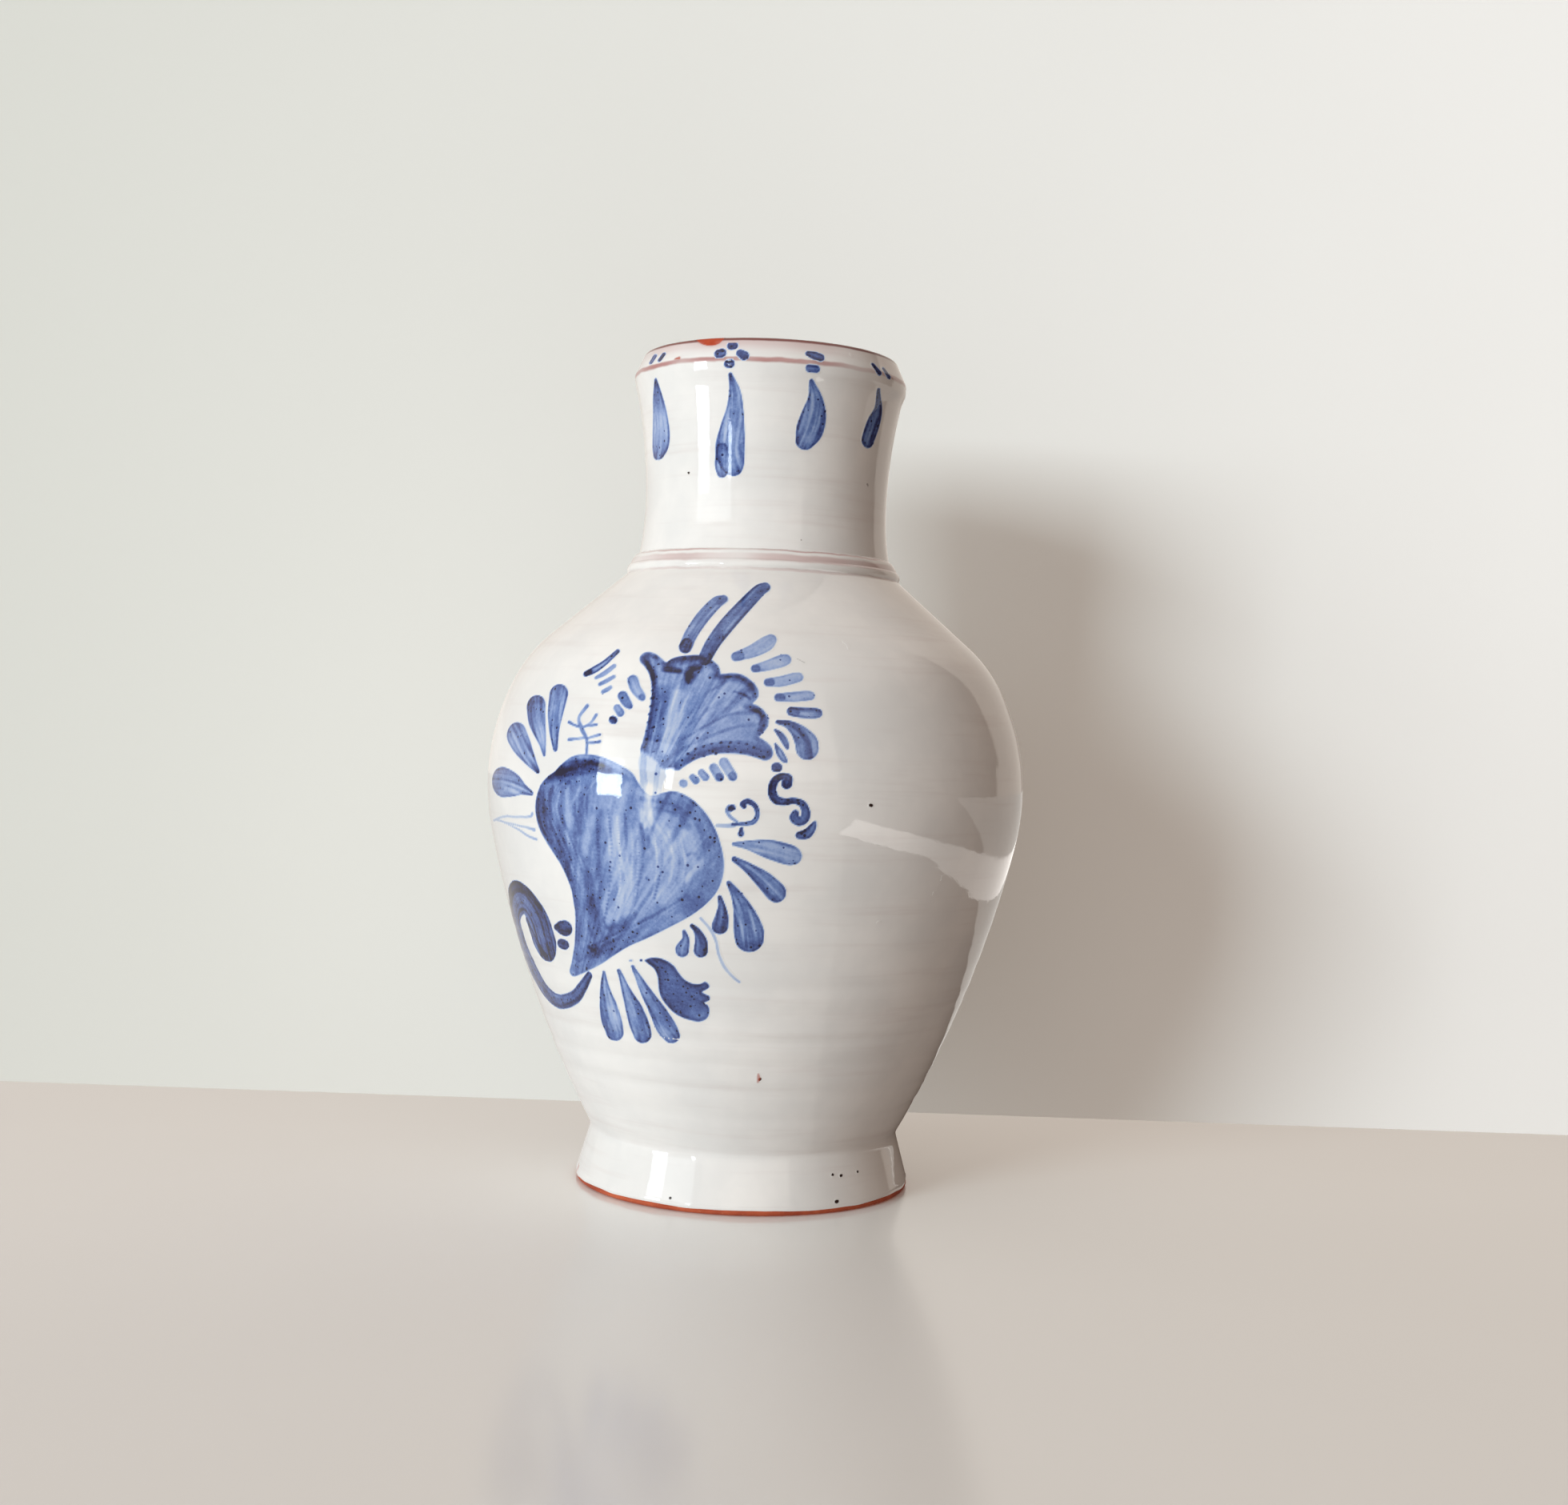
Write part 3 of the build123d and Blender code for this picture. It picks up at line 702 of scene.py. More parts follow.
    knobs=[
        ("knob", [(-8, 188.5, 1.7), (-6.6, 188.8, 1.7)], [(-1.8, 184.8, 1.3), (-1, 184.8, 1.4)],
         [(2.6, 180.4, 1.3), (3.8, 180.5, 1.4)], [(6.2, 175.6, 1.4), (7.4, 175.6, 1.4)],
         [(10.8, 171.3, 1.5), (12, 171.1, 1.6)], [(-38.2, 174.4, 1.2), (-37.9, 174, 1.2)],
         [(-7.6, 150, 1.5), (-7.3, 149.6, 1.4)], [(-11.8, 149.6, 1.4), (-11.5, 149.3, 1.4)]),
        ("deep", [(-24.8, 191.4, 2.1), (-24.4, 192.6, 1.9)]),
        ("cap", [(-1, 212, 2.3), (1, 213.2, 2)], [(-14.4, 207.6, 2.2), (-12.8, 208.4, 1.7)]),
    ],
    rightSide=[
        ("full", [(6.3, 167.7, 0.7), (9.5, 167.1, 1.3), (13, 164.9, 2.4), (15.6, 161.6, 3.6),
         (16.1, 159.6, 3.7)]),
        ("petal", [(5.6, 165.1, 0.4), (7.4, 163.6, 1), (8.8, 161.6, 1.1), (9.7, 159.6, 0.6)],
         [(5.8, 160.6, 0.4), (7.2, 158, 1.1), (8.6, 156, 1), (9.6, 155, 0.4)]),
        ("dark", [(6.2, 153.2, 1.5), (6.8, 153.2, 1.5)]),
        ("rich", [(9.9, 148.2, 1.8), (10.4, 150, 1.2), (8.2, 150.4, 1.1), (6, 148.8, 1.3),
         (5.3, 145.6, 1.4), (6.6, 143, 1.4), (9.4, 142.3, 1.2), (12.4, 142.7, 1), (15, 141.8, 1.2),
         (16.3, 139.4, 1.4), (16, 137.1, 1.5), (14.3, 136.1, 1.4), (12.8, 137.3, 1.6), (13, 138.8, 1.1)]),
        ("deep", [(14.5, 131.7, 1.2), (17, 132.3, 1.6), (18.7, 134.4, 1.2), (19.4, 135.9, 0.6)]),
        ("faint", [(-12, 133.9, 0.5), (-9, 134, 0.7), (-6.4, 134.2, 0.7)]),
        ("deep", [(-7, 134.5, 0.55), (-3, 134.8, 0.7), (-0.2, 135.6, 0.8), (0.9, 138, 0.8),
         (0.1, 140.6, 0.8), (-2.2, 142, 0.9), (-3.9, 141.2, 0.9), (-3.4, 140.3, 0.7)]),
        ("twig", [(-5.6, 135.4, 0.5), (-7.8, 137, 0.6), (-8.9, 138.8, 0.6), (-8.2, 140, 0.8)]),
        ("deep", [(-7.7, 139.5, 1), (-7.2, 139.9, 1)], [(-4, 133.3, 0.5), (-4.1, 131.8, 0.9),
         (-4.1, 131.4, 0.9)]),
        ("wash", [(-6.4, 128.2, 0.6), (-1, 127.9, 1.7), (5, 126.9, 3.1), (11, 125.4, 3.4),
         (12.8, 124.9, 2.9)]),
        ("full", [(-6, 123.3, 0.9), (-1.4, 120.6, 1.7), (3.6, 116.9, 2.8), (7.3, 113.4, 3.3),
         (8, 112.6, 3.1)]),
        ("petal", [(-7.5, 115.4, 0.8), (-4.4, 110.6, 2), (-2, 105, 3.6), (-0.6, 100, 4.8),
         (-0.2, 97.4, 4.7)]),
        ("rich", [(-10.3, 110.6, 0.7), (-9.5, 107.6, 1.2), (-9.4, 104, 2.2), (-9.9, 101, 2.7)]),
        ("deep", [(-19, 100.6, 0.7), (-17.3, 99, 1.1), (-15.9, 95.6, 2), (-15.9, 92.4, 2.3)]),
        ("petal", [(-21.5, 98.6, 0.6), (-20.9, 96, 1.2), (-21.9, 92.8, 2.2), (-22, 92, 2.2)]),
        ("faint", [(-16.2, 103.3, 0.5), (-13, 99.8, 0.55), (-11, 96, 0.55), (-10, 91.6, 0.55),
         (-8, 87.4, 0.6), (-5, 84, 0.5), (-2.9, 82.4, 0.45)]),
    ],
    lowerPetals=[
        ("petal", [(-48.4, 82.2, 0.5), (-48, 77, 1.6), (-46.7, 70, 3.2), (-45.4, 64.6, 3.7),
         (-44.6, 61.2, 3.2)], [(-43.1, 83.3, 0.7), (-40.8, 77.4, 1.5), (-37.8, 70.4, 3),
         (-35.6, 64.4, 3.5), (-34.9, 61.8, 3.2)], [(-38.4, 85.3, 0.6), (-35, 79, 1.6), (-30.4, 71.6, 2.8),
         (-26.6, 65, 3.5), (-25, 62.6, 3)]),
        ("dark", [(-63.4, 95.7, 2.5), (-62.5, 95.7, 2.7), (-65.3, 95.6, 1.3)], [(-63.8, 90, 1.7),
         (-62.8, 89.8, 1.8)]),
        ("pool", [(-35.6, 87.7, 0.45), (-35.5, 87.7, 0.45)]),
        ("faint", [(-39.4, 87.2, 0.35), (-38.8, 87.3, 0.35)]),
    ],
    leftPetals=[
        ("petal", [(-75.3, 140.8, 0.8), (-79, 142, 2), (-83.4, 143.2, 4.2), (-87.2, 143.6, 5.2),
         (-88, 143.6, 4.9)], [(-73.2, 148.3, 0.8), (-76.4, 152, 2.2), (-80.2, 156.8, 3.8),
         (-82.6, 160.2, 4.3)], [(-71, 153.8, 0.5), (-72.2, 158.6, 1.6), (-74.6, 165, 3.3),
         (-75.6, 170.2, 3.8)], [(-67, 156, 0.8), (-67.8, 161.6, 1.8), (-67.9, 168, 2.9),
         (-67.3, 174.4, 3.5)]),
        ("faint", [(-92, 129.5, 0.5), (-86.6, 131.7, 0.5), (-80, 132.3, 0.5), (-75.6, 132.9, 0.5),
         (-74.8, 134, 0.5)], [(-90.8, 130, 0.4), (-84, 129.6, 0.45), (-77, 129, 0.5), (-74, 128.5, 0.6)],
         [(-88, 130, 0.4), (-80.6, 128, 0.45), (-76.6, 126.2, 0.5), (-73.2, 125.3, 0.5)]),
        ("twig", [(-55.8, 155.2, 0.5), (-56, 159.6, 0.6), (-58, 163.2, 0.8), (-59.2, 166.8, 0.6),
         (-56.6, 170.8, 0.7)], [(-59, 163.8, 0.5), (-61, 164.4, 0.5), (-62.6, 165.2, 0.6)],
         [(-56.6, 160.2, 0.5), (-59.6, 159.8, 0.5), (-62.3, 159.4, 0.6)], [(-57.6, 163.6, 0.5),
         (-55, 165.2, 0.5), (-53.2, 167.9, 0.6)], [(-57, 164, 0.4), (-54.8, 164.4, 0.5),
         (-52.9, 164.7, 0.5)], [(-56, 160, 0.4), (-53.6, 160.8, 0.5), (-51.5, 161.5, 0.5)],
         [(-55.8, 158.7, 0.4), (-53.4, 158.8, 0.5), (-51.4, 159.2, 0.5)]),
        ("petal", [(-58, 181.5, 1), (-55, 183, 1.2), (-51.6, 185.4, 1), (-47.6, 189.3, 0.8)]),
        ("pool", [(-58, 181.5, 0.8), (-56.4, 182.4, 0.8)]),
        ("pale", [(-54.3, 180.2, 0.6), (-51.4, 181.8, 0.9), (-48.3, 184.3, 0.8)], [(-52.7, 178.1, 0.7),
         (-50.6, 179.2, 0.8), (-48.1, 180.7, 0.7)], [(-51.5, 175.6, 0.7), (-50.2, 176.3, 0.8),
         (-49, 177.1, 0.7)]),
    ],
)

# The scroll that turns out of sight at the left: degrees round the axis, height, and half width
scroll = [
    ("rich", [(-40.4, 80.3, 1.3), (-43.6, 75.9, 1.9), (-48.3, 71.2, 2.3), (-55.8, 68.4, 2.6),
     (-61.6, 69.8, 3.4), (-65.8, 73.6, 4.8), (-69.2, 78.2, 6.2), (-71.8, 83.6, 7), (-73, 89, 7.2),
     (-72.6, 94, 6.8), (-70.6, 98.6, 6), (-66.4, 102.4, 5.8), (-62, 103.6, 5.8), (-58.6, 101, 7),
     (-56.4, 96, 8.4), (-56.2, 91.4, 9)]),
    ("dark", [(-75.6, 98, 1.6), (-71, 104, 1.8), (-64, 108, 1.6), (-58, 106.6, 1.6),
     (-53.4, 101.6, 1.4)]),
    ("dark", [(-62, 96, 1.2), (-60.6, 91, 1.4), (-58.4, 86.4, 1.5), (-56, 84, 1.3)]),
]

# Drops round the neck, each under its own small dabs, seen from the front; the angle at which each drop
# stands; and which drop is repeated at which angle further round
collar = dict(
    drops=[
        ("petal", [(-40.6, 287.4, 0.5), (-39.9, 282, 1.7), (-38.9, 276, 2.6), (-38.2, 269, 3.3),
         (-38.2, 264.6, 3.2), (-38.7, 262, 2.3)]),
        ("petal", [(-13.9, 286.8, 0.7), (-12.2, 281, 2), (-12, 275, 3), (-12.6, 269, 4.2),
         (-13.2, 262, 5.2), (-12.4, 257.6, 4.4), (-11.6, 255.6, 3.2)]),
        ("petal", [(-16, 262, 2), (-16.2, 256.6, 2.1), (-15.6, 253.6, 1.8)]),
        ("petal", [(14, 285.6, 0.8), (15.6, 280, 2.5), (15.4, 274.6, 4.2), (14.2, 269.6, 4.7),
         (12.6, 265.6, 3.3)]),
        ("deep", [(38, 286.4, 0.6), (38.4, 280, 1.5), (36.8, 274.6, 2.4), (35.1, 269, 2.3),
         (34.9, 267.8, 1.9)]),
    ],
    dabs=[
        [("deep", [(-42.6, 293.9, 0.8), (-41.4, 296, 0.9)], [(-39.3, 294, 0.8), (-38, 295.9, 0.8)])],
        [("deep", [(-18.1, 293.9, 1.7), (-17.2, 294.1, 1.7)], [(-13.9, 296.8, 1.6), (-13.1, 296.8, 1.5)],
          [(-10.8, 294, 1.4), (-9.4, 293.1, 1.7)], [(-14.9, 290.3, 1.3), (-13.9, 290.3, 1.4)])],
        [],
        [("deep", [(12.4, 294.9, 0.9), (14.6, 294.4, 1.5), (16.9, 293.9, 1.4)], [(13, 289.8, 1.3),
          (15.4, 289.8, 1.3)])],
        [("deep", [(35.6, 294.6, 0.6), (38, 292, 0.9)], [(39.6, 294, 0.6), (41.6, 291.6, 0.8)])],
    ],
    homes=(-58.8, -17.0, -17.0, 17.8, 52.5),
    repeats=[(3, 88.0), (0, 123.5), (4, 159.0), (1, -165.5), (2, -165.5), (3, -130.0), (0, -94.5)],
)

# Flaws of the firing and of wear: bare clay where a flake came off, and dark pits, as seen from the front
flaws = dict(
    bare=[
        ("pool", (0, 0), [(-26.4, 301), (-26, 299.4), (-24.6, 298), (-22.6, 297.2), (-20.4, 297),
         (-18.4, 297.6), (-17, 299), (-16.4, 301), (-21, 301.2)]),
        ("pool", [(-59.4, 6, 0.6), (-59.8, 4.2, 0.8), (-60.2, 2.8, 0.7)], [(-33.6, 293.2, 0.35),
         (-32.2, 293.4, 0.6)]),
        ("bar", [(4.4, 50.4, 0.3), (4.6, 49, 0.6), (4.4, 47.6, 0.4)]),
    ],
    pits=[
        ("pool", [(37.4, 142, 0.6), (37.6, 141.9, 0.6)], [(-27.6, 254, 0.35), (-27.4, 253.9, 0.35)],
         [(4.9, 48.4, 0.45), (5.1, 48.6, 0.5)]),
        ("vein", [(63.6, 117.6, 0.5), (64, 117.9, 0.4)], [(61, 112.6, 0.4), (61.4, 112.4, 0.4)],
         [(42, 103, 0.3), (42.3, 103.2, 0.3)]),
        ("pool", [(31.4, 12.6, 0.4), (31.6, 12.5, 0.4)], [(34.4, 12, 0.45), (34.6, 12, 0.45)],
         [(40.4, 12.4, 0.35), (40.5, 12.3, 0.35)], [(33, 3.8, 0.6), (33.3, 3.8, 0.6)], [(-24, 4.2, 0.4),
         (-23.8, 4.2, 0.4)]),
        ("vein", [(-4.4, 220.6, 0.3), (-3.6, 220.6, 0.3)], [(27.4, 195.2, 0.25), (28.6, 194.4, 0.35),
         (29, 193, 0.3)]),
        ("faint", [(12, 188.6, 0.25), (14.4, 187.4, 0.3)]),
        ("vein", [(27.6, 296.6, 0.4), (27.8, 296.5, 0.4)], [(0.4, 259.3, 0.25), (2.6, 259.2, 0.25)]),
        ("faint", [(35.6, 253.4, 0.5), (35.8, 253, 0.4)]),
    ],
)


# The films that carry the paint, and how paint settles in a stroke
painting = dict(
    cell=0.42, proud=0.05, sunk=0.03, least=0.012, sharp=40.0, boxMargin=1.0, linePoints=9, most=1.1,
    spread=0.16, streakField=(60.0, 90.0), leastHalf=0.3, heelReach=2.4, toeReach=2.2, fullLength=12.0,
    fanReach=42.0, outlineHalf=12.0, outlineLength=90.0, runTogether=0.12, deepest=1.15, saturation=0.6,
    shallow=0.25, scrollRadius=84.0, grainHalf=0.42, grainStep=0.25,
)


def smoothLine(points, closed=False):
    # the cubic through every point whose slope at each is half the way from its last to its next neighbour
    p = np.array(points, float)
    ends = (p[-1:], p[:2]) if closed else (2 * p[:1] - p[1:2], 2 * p[-1:] - p[-2:-1])
    p = np.concatenate([ends[0], p, ends[1]])
    t = (np.arange(painting["linePoints"]) / painting["linePoints"])[:, None, None]
    a, b, c, d = p[:-3], p[1:-2], p[2:-1], p[3:]
    curve = b + 0.5 * t * (c - a + t * (2 * a - 5 * b + 4 * c - d + t * (3 * b - a - 3 * c + d)))
    curve = curve.transpose(1, 0, 2).reshape(-1, p.shape[1])
    return curve if closed else np.concatenate([curve, p[-2:-1]])


def strokeField(a, b, middle):
    # depth inside a stroke: the greatest of half width - distance over the points of its middle
    reach = middle[:, 2] - np.hypot(a[:, None] - middle[:, 0], b[:, None] - middle[:, 1])
    best = np.argmax(reach, axis=1)
    steps = np.gradient(middle[:, :2], axis=0) + 1e-9
    run = np.concatenate([[0], np.cumsum(np.hypot(*np.diff(middle[:, :2], axis=0).T))])
    steps /= np.hypot(steps[:, 0], steps[:, 1])[:, None]
    across = (a - middle[best, 0]) * steps[best, 1] - (b - middle[best, 1]) * steps[best, 0]
    along = run[best] + (a - middle[best, 0]) * steps[best, 0] + (b - middle[best, 1]) * steps[best, 1]
    return reach[np.arange(len(a)), best], along, across, middle[best, 2], run[-1]


def outlineField(a, b, ring, pivot):
    # depth inside an outline: the distance to its nearest side, less than zero outside by the crossing
    # rule; its streaks fan out from a pivot
    start, side = ring, np.roll(ring, -1, axis=0) - ring
    da, db = a[:, None] - start[:, 0], b[:, None] - start[:, 1]
    t = np.clip((da * side[:, 0] + db * side[:, 1]) / (side**2).sum(axis=1), 0, 1)
    gap = np.hypot(da - t * side[:, 0], db - t * side[:, 1]).min(axis=1)
    crossed = (db < 0) != (db - side[:, 1] < 0)
    rise = np.where(side[:, 1] == 0, 1e-9, side[:, 1])
    inside = (crossed & (da < db * side[:, 0] / rise)).sum(axis=1) % 2
    fan = np.arctan2(a - pivot[0], b - pivot[1]) * painting["fanReach"]
    half = np.full_like(a, painting["outlineHalf"])
    depth = np.where(inside == 1, gap, -gap)
    return depth, np.hypot(a - pivot[0], b - pivot[1]), fan, half, painting["outlineLength"]


def cobalt(field, brush, seed):
    # tone * (1 + streaks - hollow middle) + pools at the rim, heel and toe, faded across the edge
    depth, along, across, half, total = field
    b, p = plainBrush | brushes[brush], painting
    edge = np.clip((depth + p["spread"]) / b["fade"], 0, 1)
    edge = edge * edge * (3 - 2 * edge)
    u, v = across / p["streakField"][0] + 0.5, along / p["streakField"][1] + 0.2
    streak = noise(u, v, 58, 8, seed, wraps=False) + 0.6 * noise(u, v, 120, 14, seed + 1, wraps=False)
    middle = 1 - np.clip(np.abs(across) / np.maximum(half, p["leastHalf"]), 0, 1) ** 2
    heelReach = p["heelReach"] * min(1.0, 0.5 + total / p["fullLength"])
    toToe = np.clip(total - along + 0.6 * half, 0, None)
    pools = b["rim"] * np.exp(-(((depth - 0.8 * b["rimWidth"]) / b["rimWidth"]) ** 2))
    pools += b["heel"] * np.exp(-((np.clip(along, 0, None) / heelReach) ** 2))
    pools += b["toe"] * np.exp(-((toToe / p["toeReach"]) ** 2))
    return edge * (b["tone"] * (1 + b["streak"] * streak - b["hollow"] * middle) + pools)


def lay(paint, amount):
    # thinner paint runs into thicker, so where two washes meet the second adds part of itself
    return np.maximum(paint, amount) + painting["runTogether"] * np.minimum(paint, amount)


def cover(paint, a, b, marks, seed, deepen=False):
    # every stroke or outline touches only the places within its own box
    lines = []
    for brush, *strokes in marks:
        pivot = strokes.pop(0) if isinstance(strokes[0], tuple) else None
        lines += [(brush, pivot, points) for points in strokes]
    for number, (brush, pivot, points) in enumerate(lines):
        closed = pivot is not None
        shape = np.array(points * 2, float) if len(points) == 1 else smoothLine(points, closed)
        margin = painting["boxMargin"] + (0 if closed else shape[:, 2].max())
        low, high = shape[:, :2].min(axis=0) - margin, shape[:, :2].max(axis=0) + margin
        near = np.nonzero((a > low[0]) & (a < high[0]) & (b > low[1]) & (b < high[1]))[0]
        if not len(near):
            continue
        here = a[near], b[near]
        field = outlineField(*here, shape, pivot) if closed else strokeField(*here, shape)
        amount = cobalt(field, brush, seed + 2 * number)
        before = paint[near]
        if deepen:
            room = np.where(amount > 0, painting["deepest"] * (1 - painting["saturation"] * before), 1.0)
            grip = np.clip(before / painting["shallow"], 0, 1)
            paint[near] = np.maximum(0, before + amount * room * grip)
        else:
            paint[near] = lay(before, amount)
    return paint


def paintedSkin(names, angles, levels, painter):
    # a fine grid on the jar's own surface, kept only where there is paint, as closed skins level by level
    rows = np.arange(lengthAt(levels[0]), lengthAt(levels[-1]), painting["cell"])
    widest = np.interp(rows, stations, line.real).max()
    turn = np.arange(np.radians(angles[0]), np.radians(angles[1]), painting["cell"] / widest)
    angle, at = np.meshgrid(turn, rows)
    values = {key: np.zeros(angle.size) for key in ("pigment", "bare", "pit")}
    values |= painter(angle.ravel(), at.ravel())
    shown = np.max(list(values.values()), axis=0).reshape(angle.shape) > painting["least"]
    painted = shown[:-1, :-1] | shown[1:, :-1] | shown[:-1, 1:] | shown[1:, 1:]
    painted[0], painted[-1], painted[:, 0], painted[:, -1] = False, False, False, False
    lift = jar["glaze"] + relief(angle, at)
    top = onJar(angle, at, lift + painting["proud"]).reshape(-1, 3)
    under = onJar(angle, at, lift - painting["sunk"]).reshape(-1, 3)
    count, columns = angle.size, angle.shape[1]
    for name, low, high in zip(names, levels[:-1], levels[1:]):
        cells = painted & ((rows[:-1] >= lengthAt(low)) & (rows[:-1] < lengthAt(high)))[:, None]
        i, j = np.nonzero(cells)
        v = [i * columns + j, i * columns + j + 1, (i + 1) * columns + j + 1, (i + 1) * columns + j]
        faces = [np.stack(v, axis=-1), np.stack([c + count for c in v[::-1]], axis=-1)]
        for (di, dj), first, second in [((-1, 0), 0, 1), ((0, 1), 1, 2), ((1, 0), 2, 3), ((0, -1), 3, 0)]:
            rim = ~cells[i + di, j + dj]
            p, q = v[first][rim], v[second][rim]
            faces.append(np.stack([q, p, p + count, q + count], axis=-1))
        used, faces = np.unique(np.concatenate(faces), return_inverse=True)
        faces = faces.reshape(-1, 4)
        amounts = {key: np.concatenate([amount, amount])[used] for key, amount in values.items()}
        piece = makePiece(name, np.concatenate([top, under])[used], faces, paintedGlaze, amounts)
        piece.data.set_sharp_from_angle(angle=np.radians(painting["sharp"]))
        dressed(piece)


def frontPlace(angle, at):
    # where a point of the glaze is seen from straight in front: right of the axis, and height; what lies
    # behind goes far out of every mark's reach
    r, z = outlineAt(at, jar["glaze"])
    return np.where(np.cos(angle) > 0, r * np.sin(angle), 1e4), z


def bellyPainter(angle, at):
    x, z = frontPlace(angle, at)
    grains = [[(a, b, painting["grainHalf"]), (a + painting["grainStep"], b, painting["grainHalf"])]
              for a, b in spray["crestGrains"]]
    paint = cover(np.zeros_like(x), x, z, spray["crest"], 100)
    paint = cover(paint, x, z, spray["crestShading"], 200, deepen=True)
    paint = cover(paint, x, z, [("dark", *grains)], 250)
    paint = cover(paint, x, z, spray["stemWash"] + spray["heart"], 300)
    paint = cover(paint, x, z, spray["heartShading"], 400, deepen=True)
    groups = ["tulip", "upright", "ladder", "rightSide", "lowerPetals", "leftPetals", "knobs"]
    for number, group in enumerate(groups):
        paint = cover(paint, x, z, spray[group], 500 + 100 * number)
    radius = painting["scrollRadius"]
    around = [(brush, [(np.radians(a) * radius, b, half) for a, b, half in points])
              for brush, points in scroll]
    paint = cover(paint, angle * radius, z, around, 1190)
    return {"pigment": np.clip(paint, 0, painting["most"])}


def neckPainter(angle, at):
    c = collar
    paint = np.zeros_like(angle)
    for number, (k, here) in enumerate([*enumerate(c["homes"]), *c["repeats"]]):
        turned = (angle - np.radians(here - c["homes"][k]) + np.pi) % (2 * np.pi) - np.pi
        x, z = frontPlace(turned, at)
        paint = cover(paint, x, z, [c["drops"][k], *c["dabs"][k]], 1200 + 40 * number)
    return {"pigment": np.clip(paint, 0, painting["most"])}


def flawPainter(angle, at):
    x, z = frontPlace(angle, at)
    bare = cover(np.zeros_like(x), x, z, flaws["bare"], 1700)
    dark = cover(np.zeros_like(x), x, z, flaws["pits"], 1800)
    return {"pit": dark, "bare": np.clip(bare, 0, 1)}


paintedSkin(["belly_painting_low", "belly_painting_high"], (-100, 16), (55, 124, 219), bellyPainter)
paintedSkin(["neck_painting"], (-180, 180), (248, 298.4), neckPainter)
paintedSkin(["foot_flaws", "belly_flaws", "rim_flaws"], (-80, 60), (1.5, 19, 260, 300.3), flawPainter)

# Terracotta of the foot, the floor and the hidden wall
terracotta = dict(
    light=colour(190, 92, 58), deep=colour(150, 58, 34), grit=colour(205, 140, 104),
    smoothest=0.75, roughest=0.95, bump=0.2, bumpStrength=0.5,
    turningScale=(60.0, 60.0, 900.0), patchScale=60.0, gritScale=1500.0,
    patches=(0.3, 0.7), turning=(0.45, 0.7, 0.0, 0.35), grains=(0.62, 0.72, 0.0, 0.6), rough=(0.3, 0.7),
)


def clayMaterial():
    material = bpy.data.materials.new("terracotta_clay")
    t = terracotta
    n = Nodes(material)
    place = n.coordinate()
    turned = n.noise(n.stretched(place, *t["turningScale"]), 1.0, 3.0, 0.6)
    patchy = n.noise(place, t["patchScale"], 5.0, 0.65)
    base = n.mix(n.between(patchy, *t["patches"]), t["deep"], t["light"])
    base = n.mix(n.between(turned, *t["turning"]), base, t["deep"])
    grit = n.noise(place, t["gritScale"], 2.0, 0.8)
    base = n.mix(n.between(grit, *t["grains"]), base, t["grit"])
    rough = n.between(grit, *t["rough"], t["smoothest"], t["roughest"])
    n.finish(base, rough, n.math("ADD", grit, turned), t["bumpStrength"], t["bump"])
    return material


clay = clayMaterial()
walls = ["foot_ring", "base_floor", "lower_body", "belly", "shoulder", "neck_cordon", "neck", "rim_collar"]
for name in [*walls, "inner_glaze"]:
    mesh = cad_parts[name].data
    mesh.materials.clear()
    mesh.materials.append(clay if name in walls else plainGlaze)
print("clay and lining dressed")

# The camera stands where the outline of the jar in the picture puts it
camera = dict(eye=(0.0, -732.8, 165.3), yaw=0.7797, pitch=-0.6532, roll=2.1294, lens=45.68, sensor=36.0)


def standing(right, up, back, place):
    return Matrix([[right[i], up[i], back[i], place[i] * mm] for i in range(3)] + [[0, 0, 0, 1]])


def makeCamera():
    yaw, pitch, roll = np.radians([camera["yaw"], camera["pitch"], camera["roll"]])
    forward = np.array([np.sin(yaw) * np.cos(pitch), np.cos(yaw) * np.cos(pitch), np.sin(pitch)])
    level = np.array([np.cos(yaw), -np.sin(yaw), 0.0])
    upright = np.cross(level, forward)
    right = np.cos(roll) * level + np.sin(roll) * upright
    up = np.cos(roll) * upright - np.sin(roll) * level
    data = bpy.data.cameras.new("camera")
    data.lens, data.sensor_width = camera["lens"], camera["sensor"]
    data.clip_start, data.clip_end = 0.01, 50.0
    view = placed("camera", data)
    view.matrix_world = standing(right, up, -forward, camera["eye"])
    bpy.context.scene.camera = view


makeCamera()

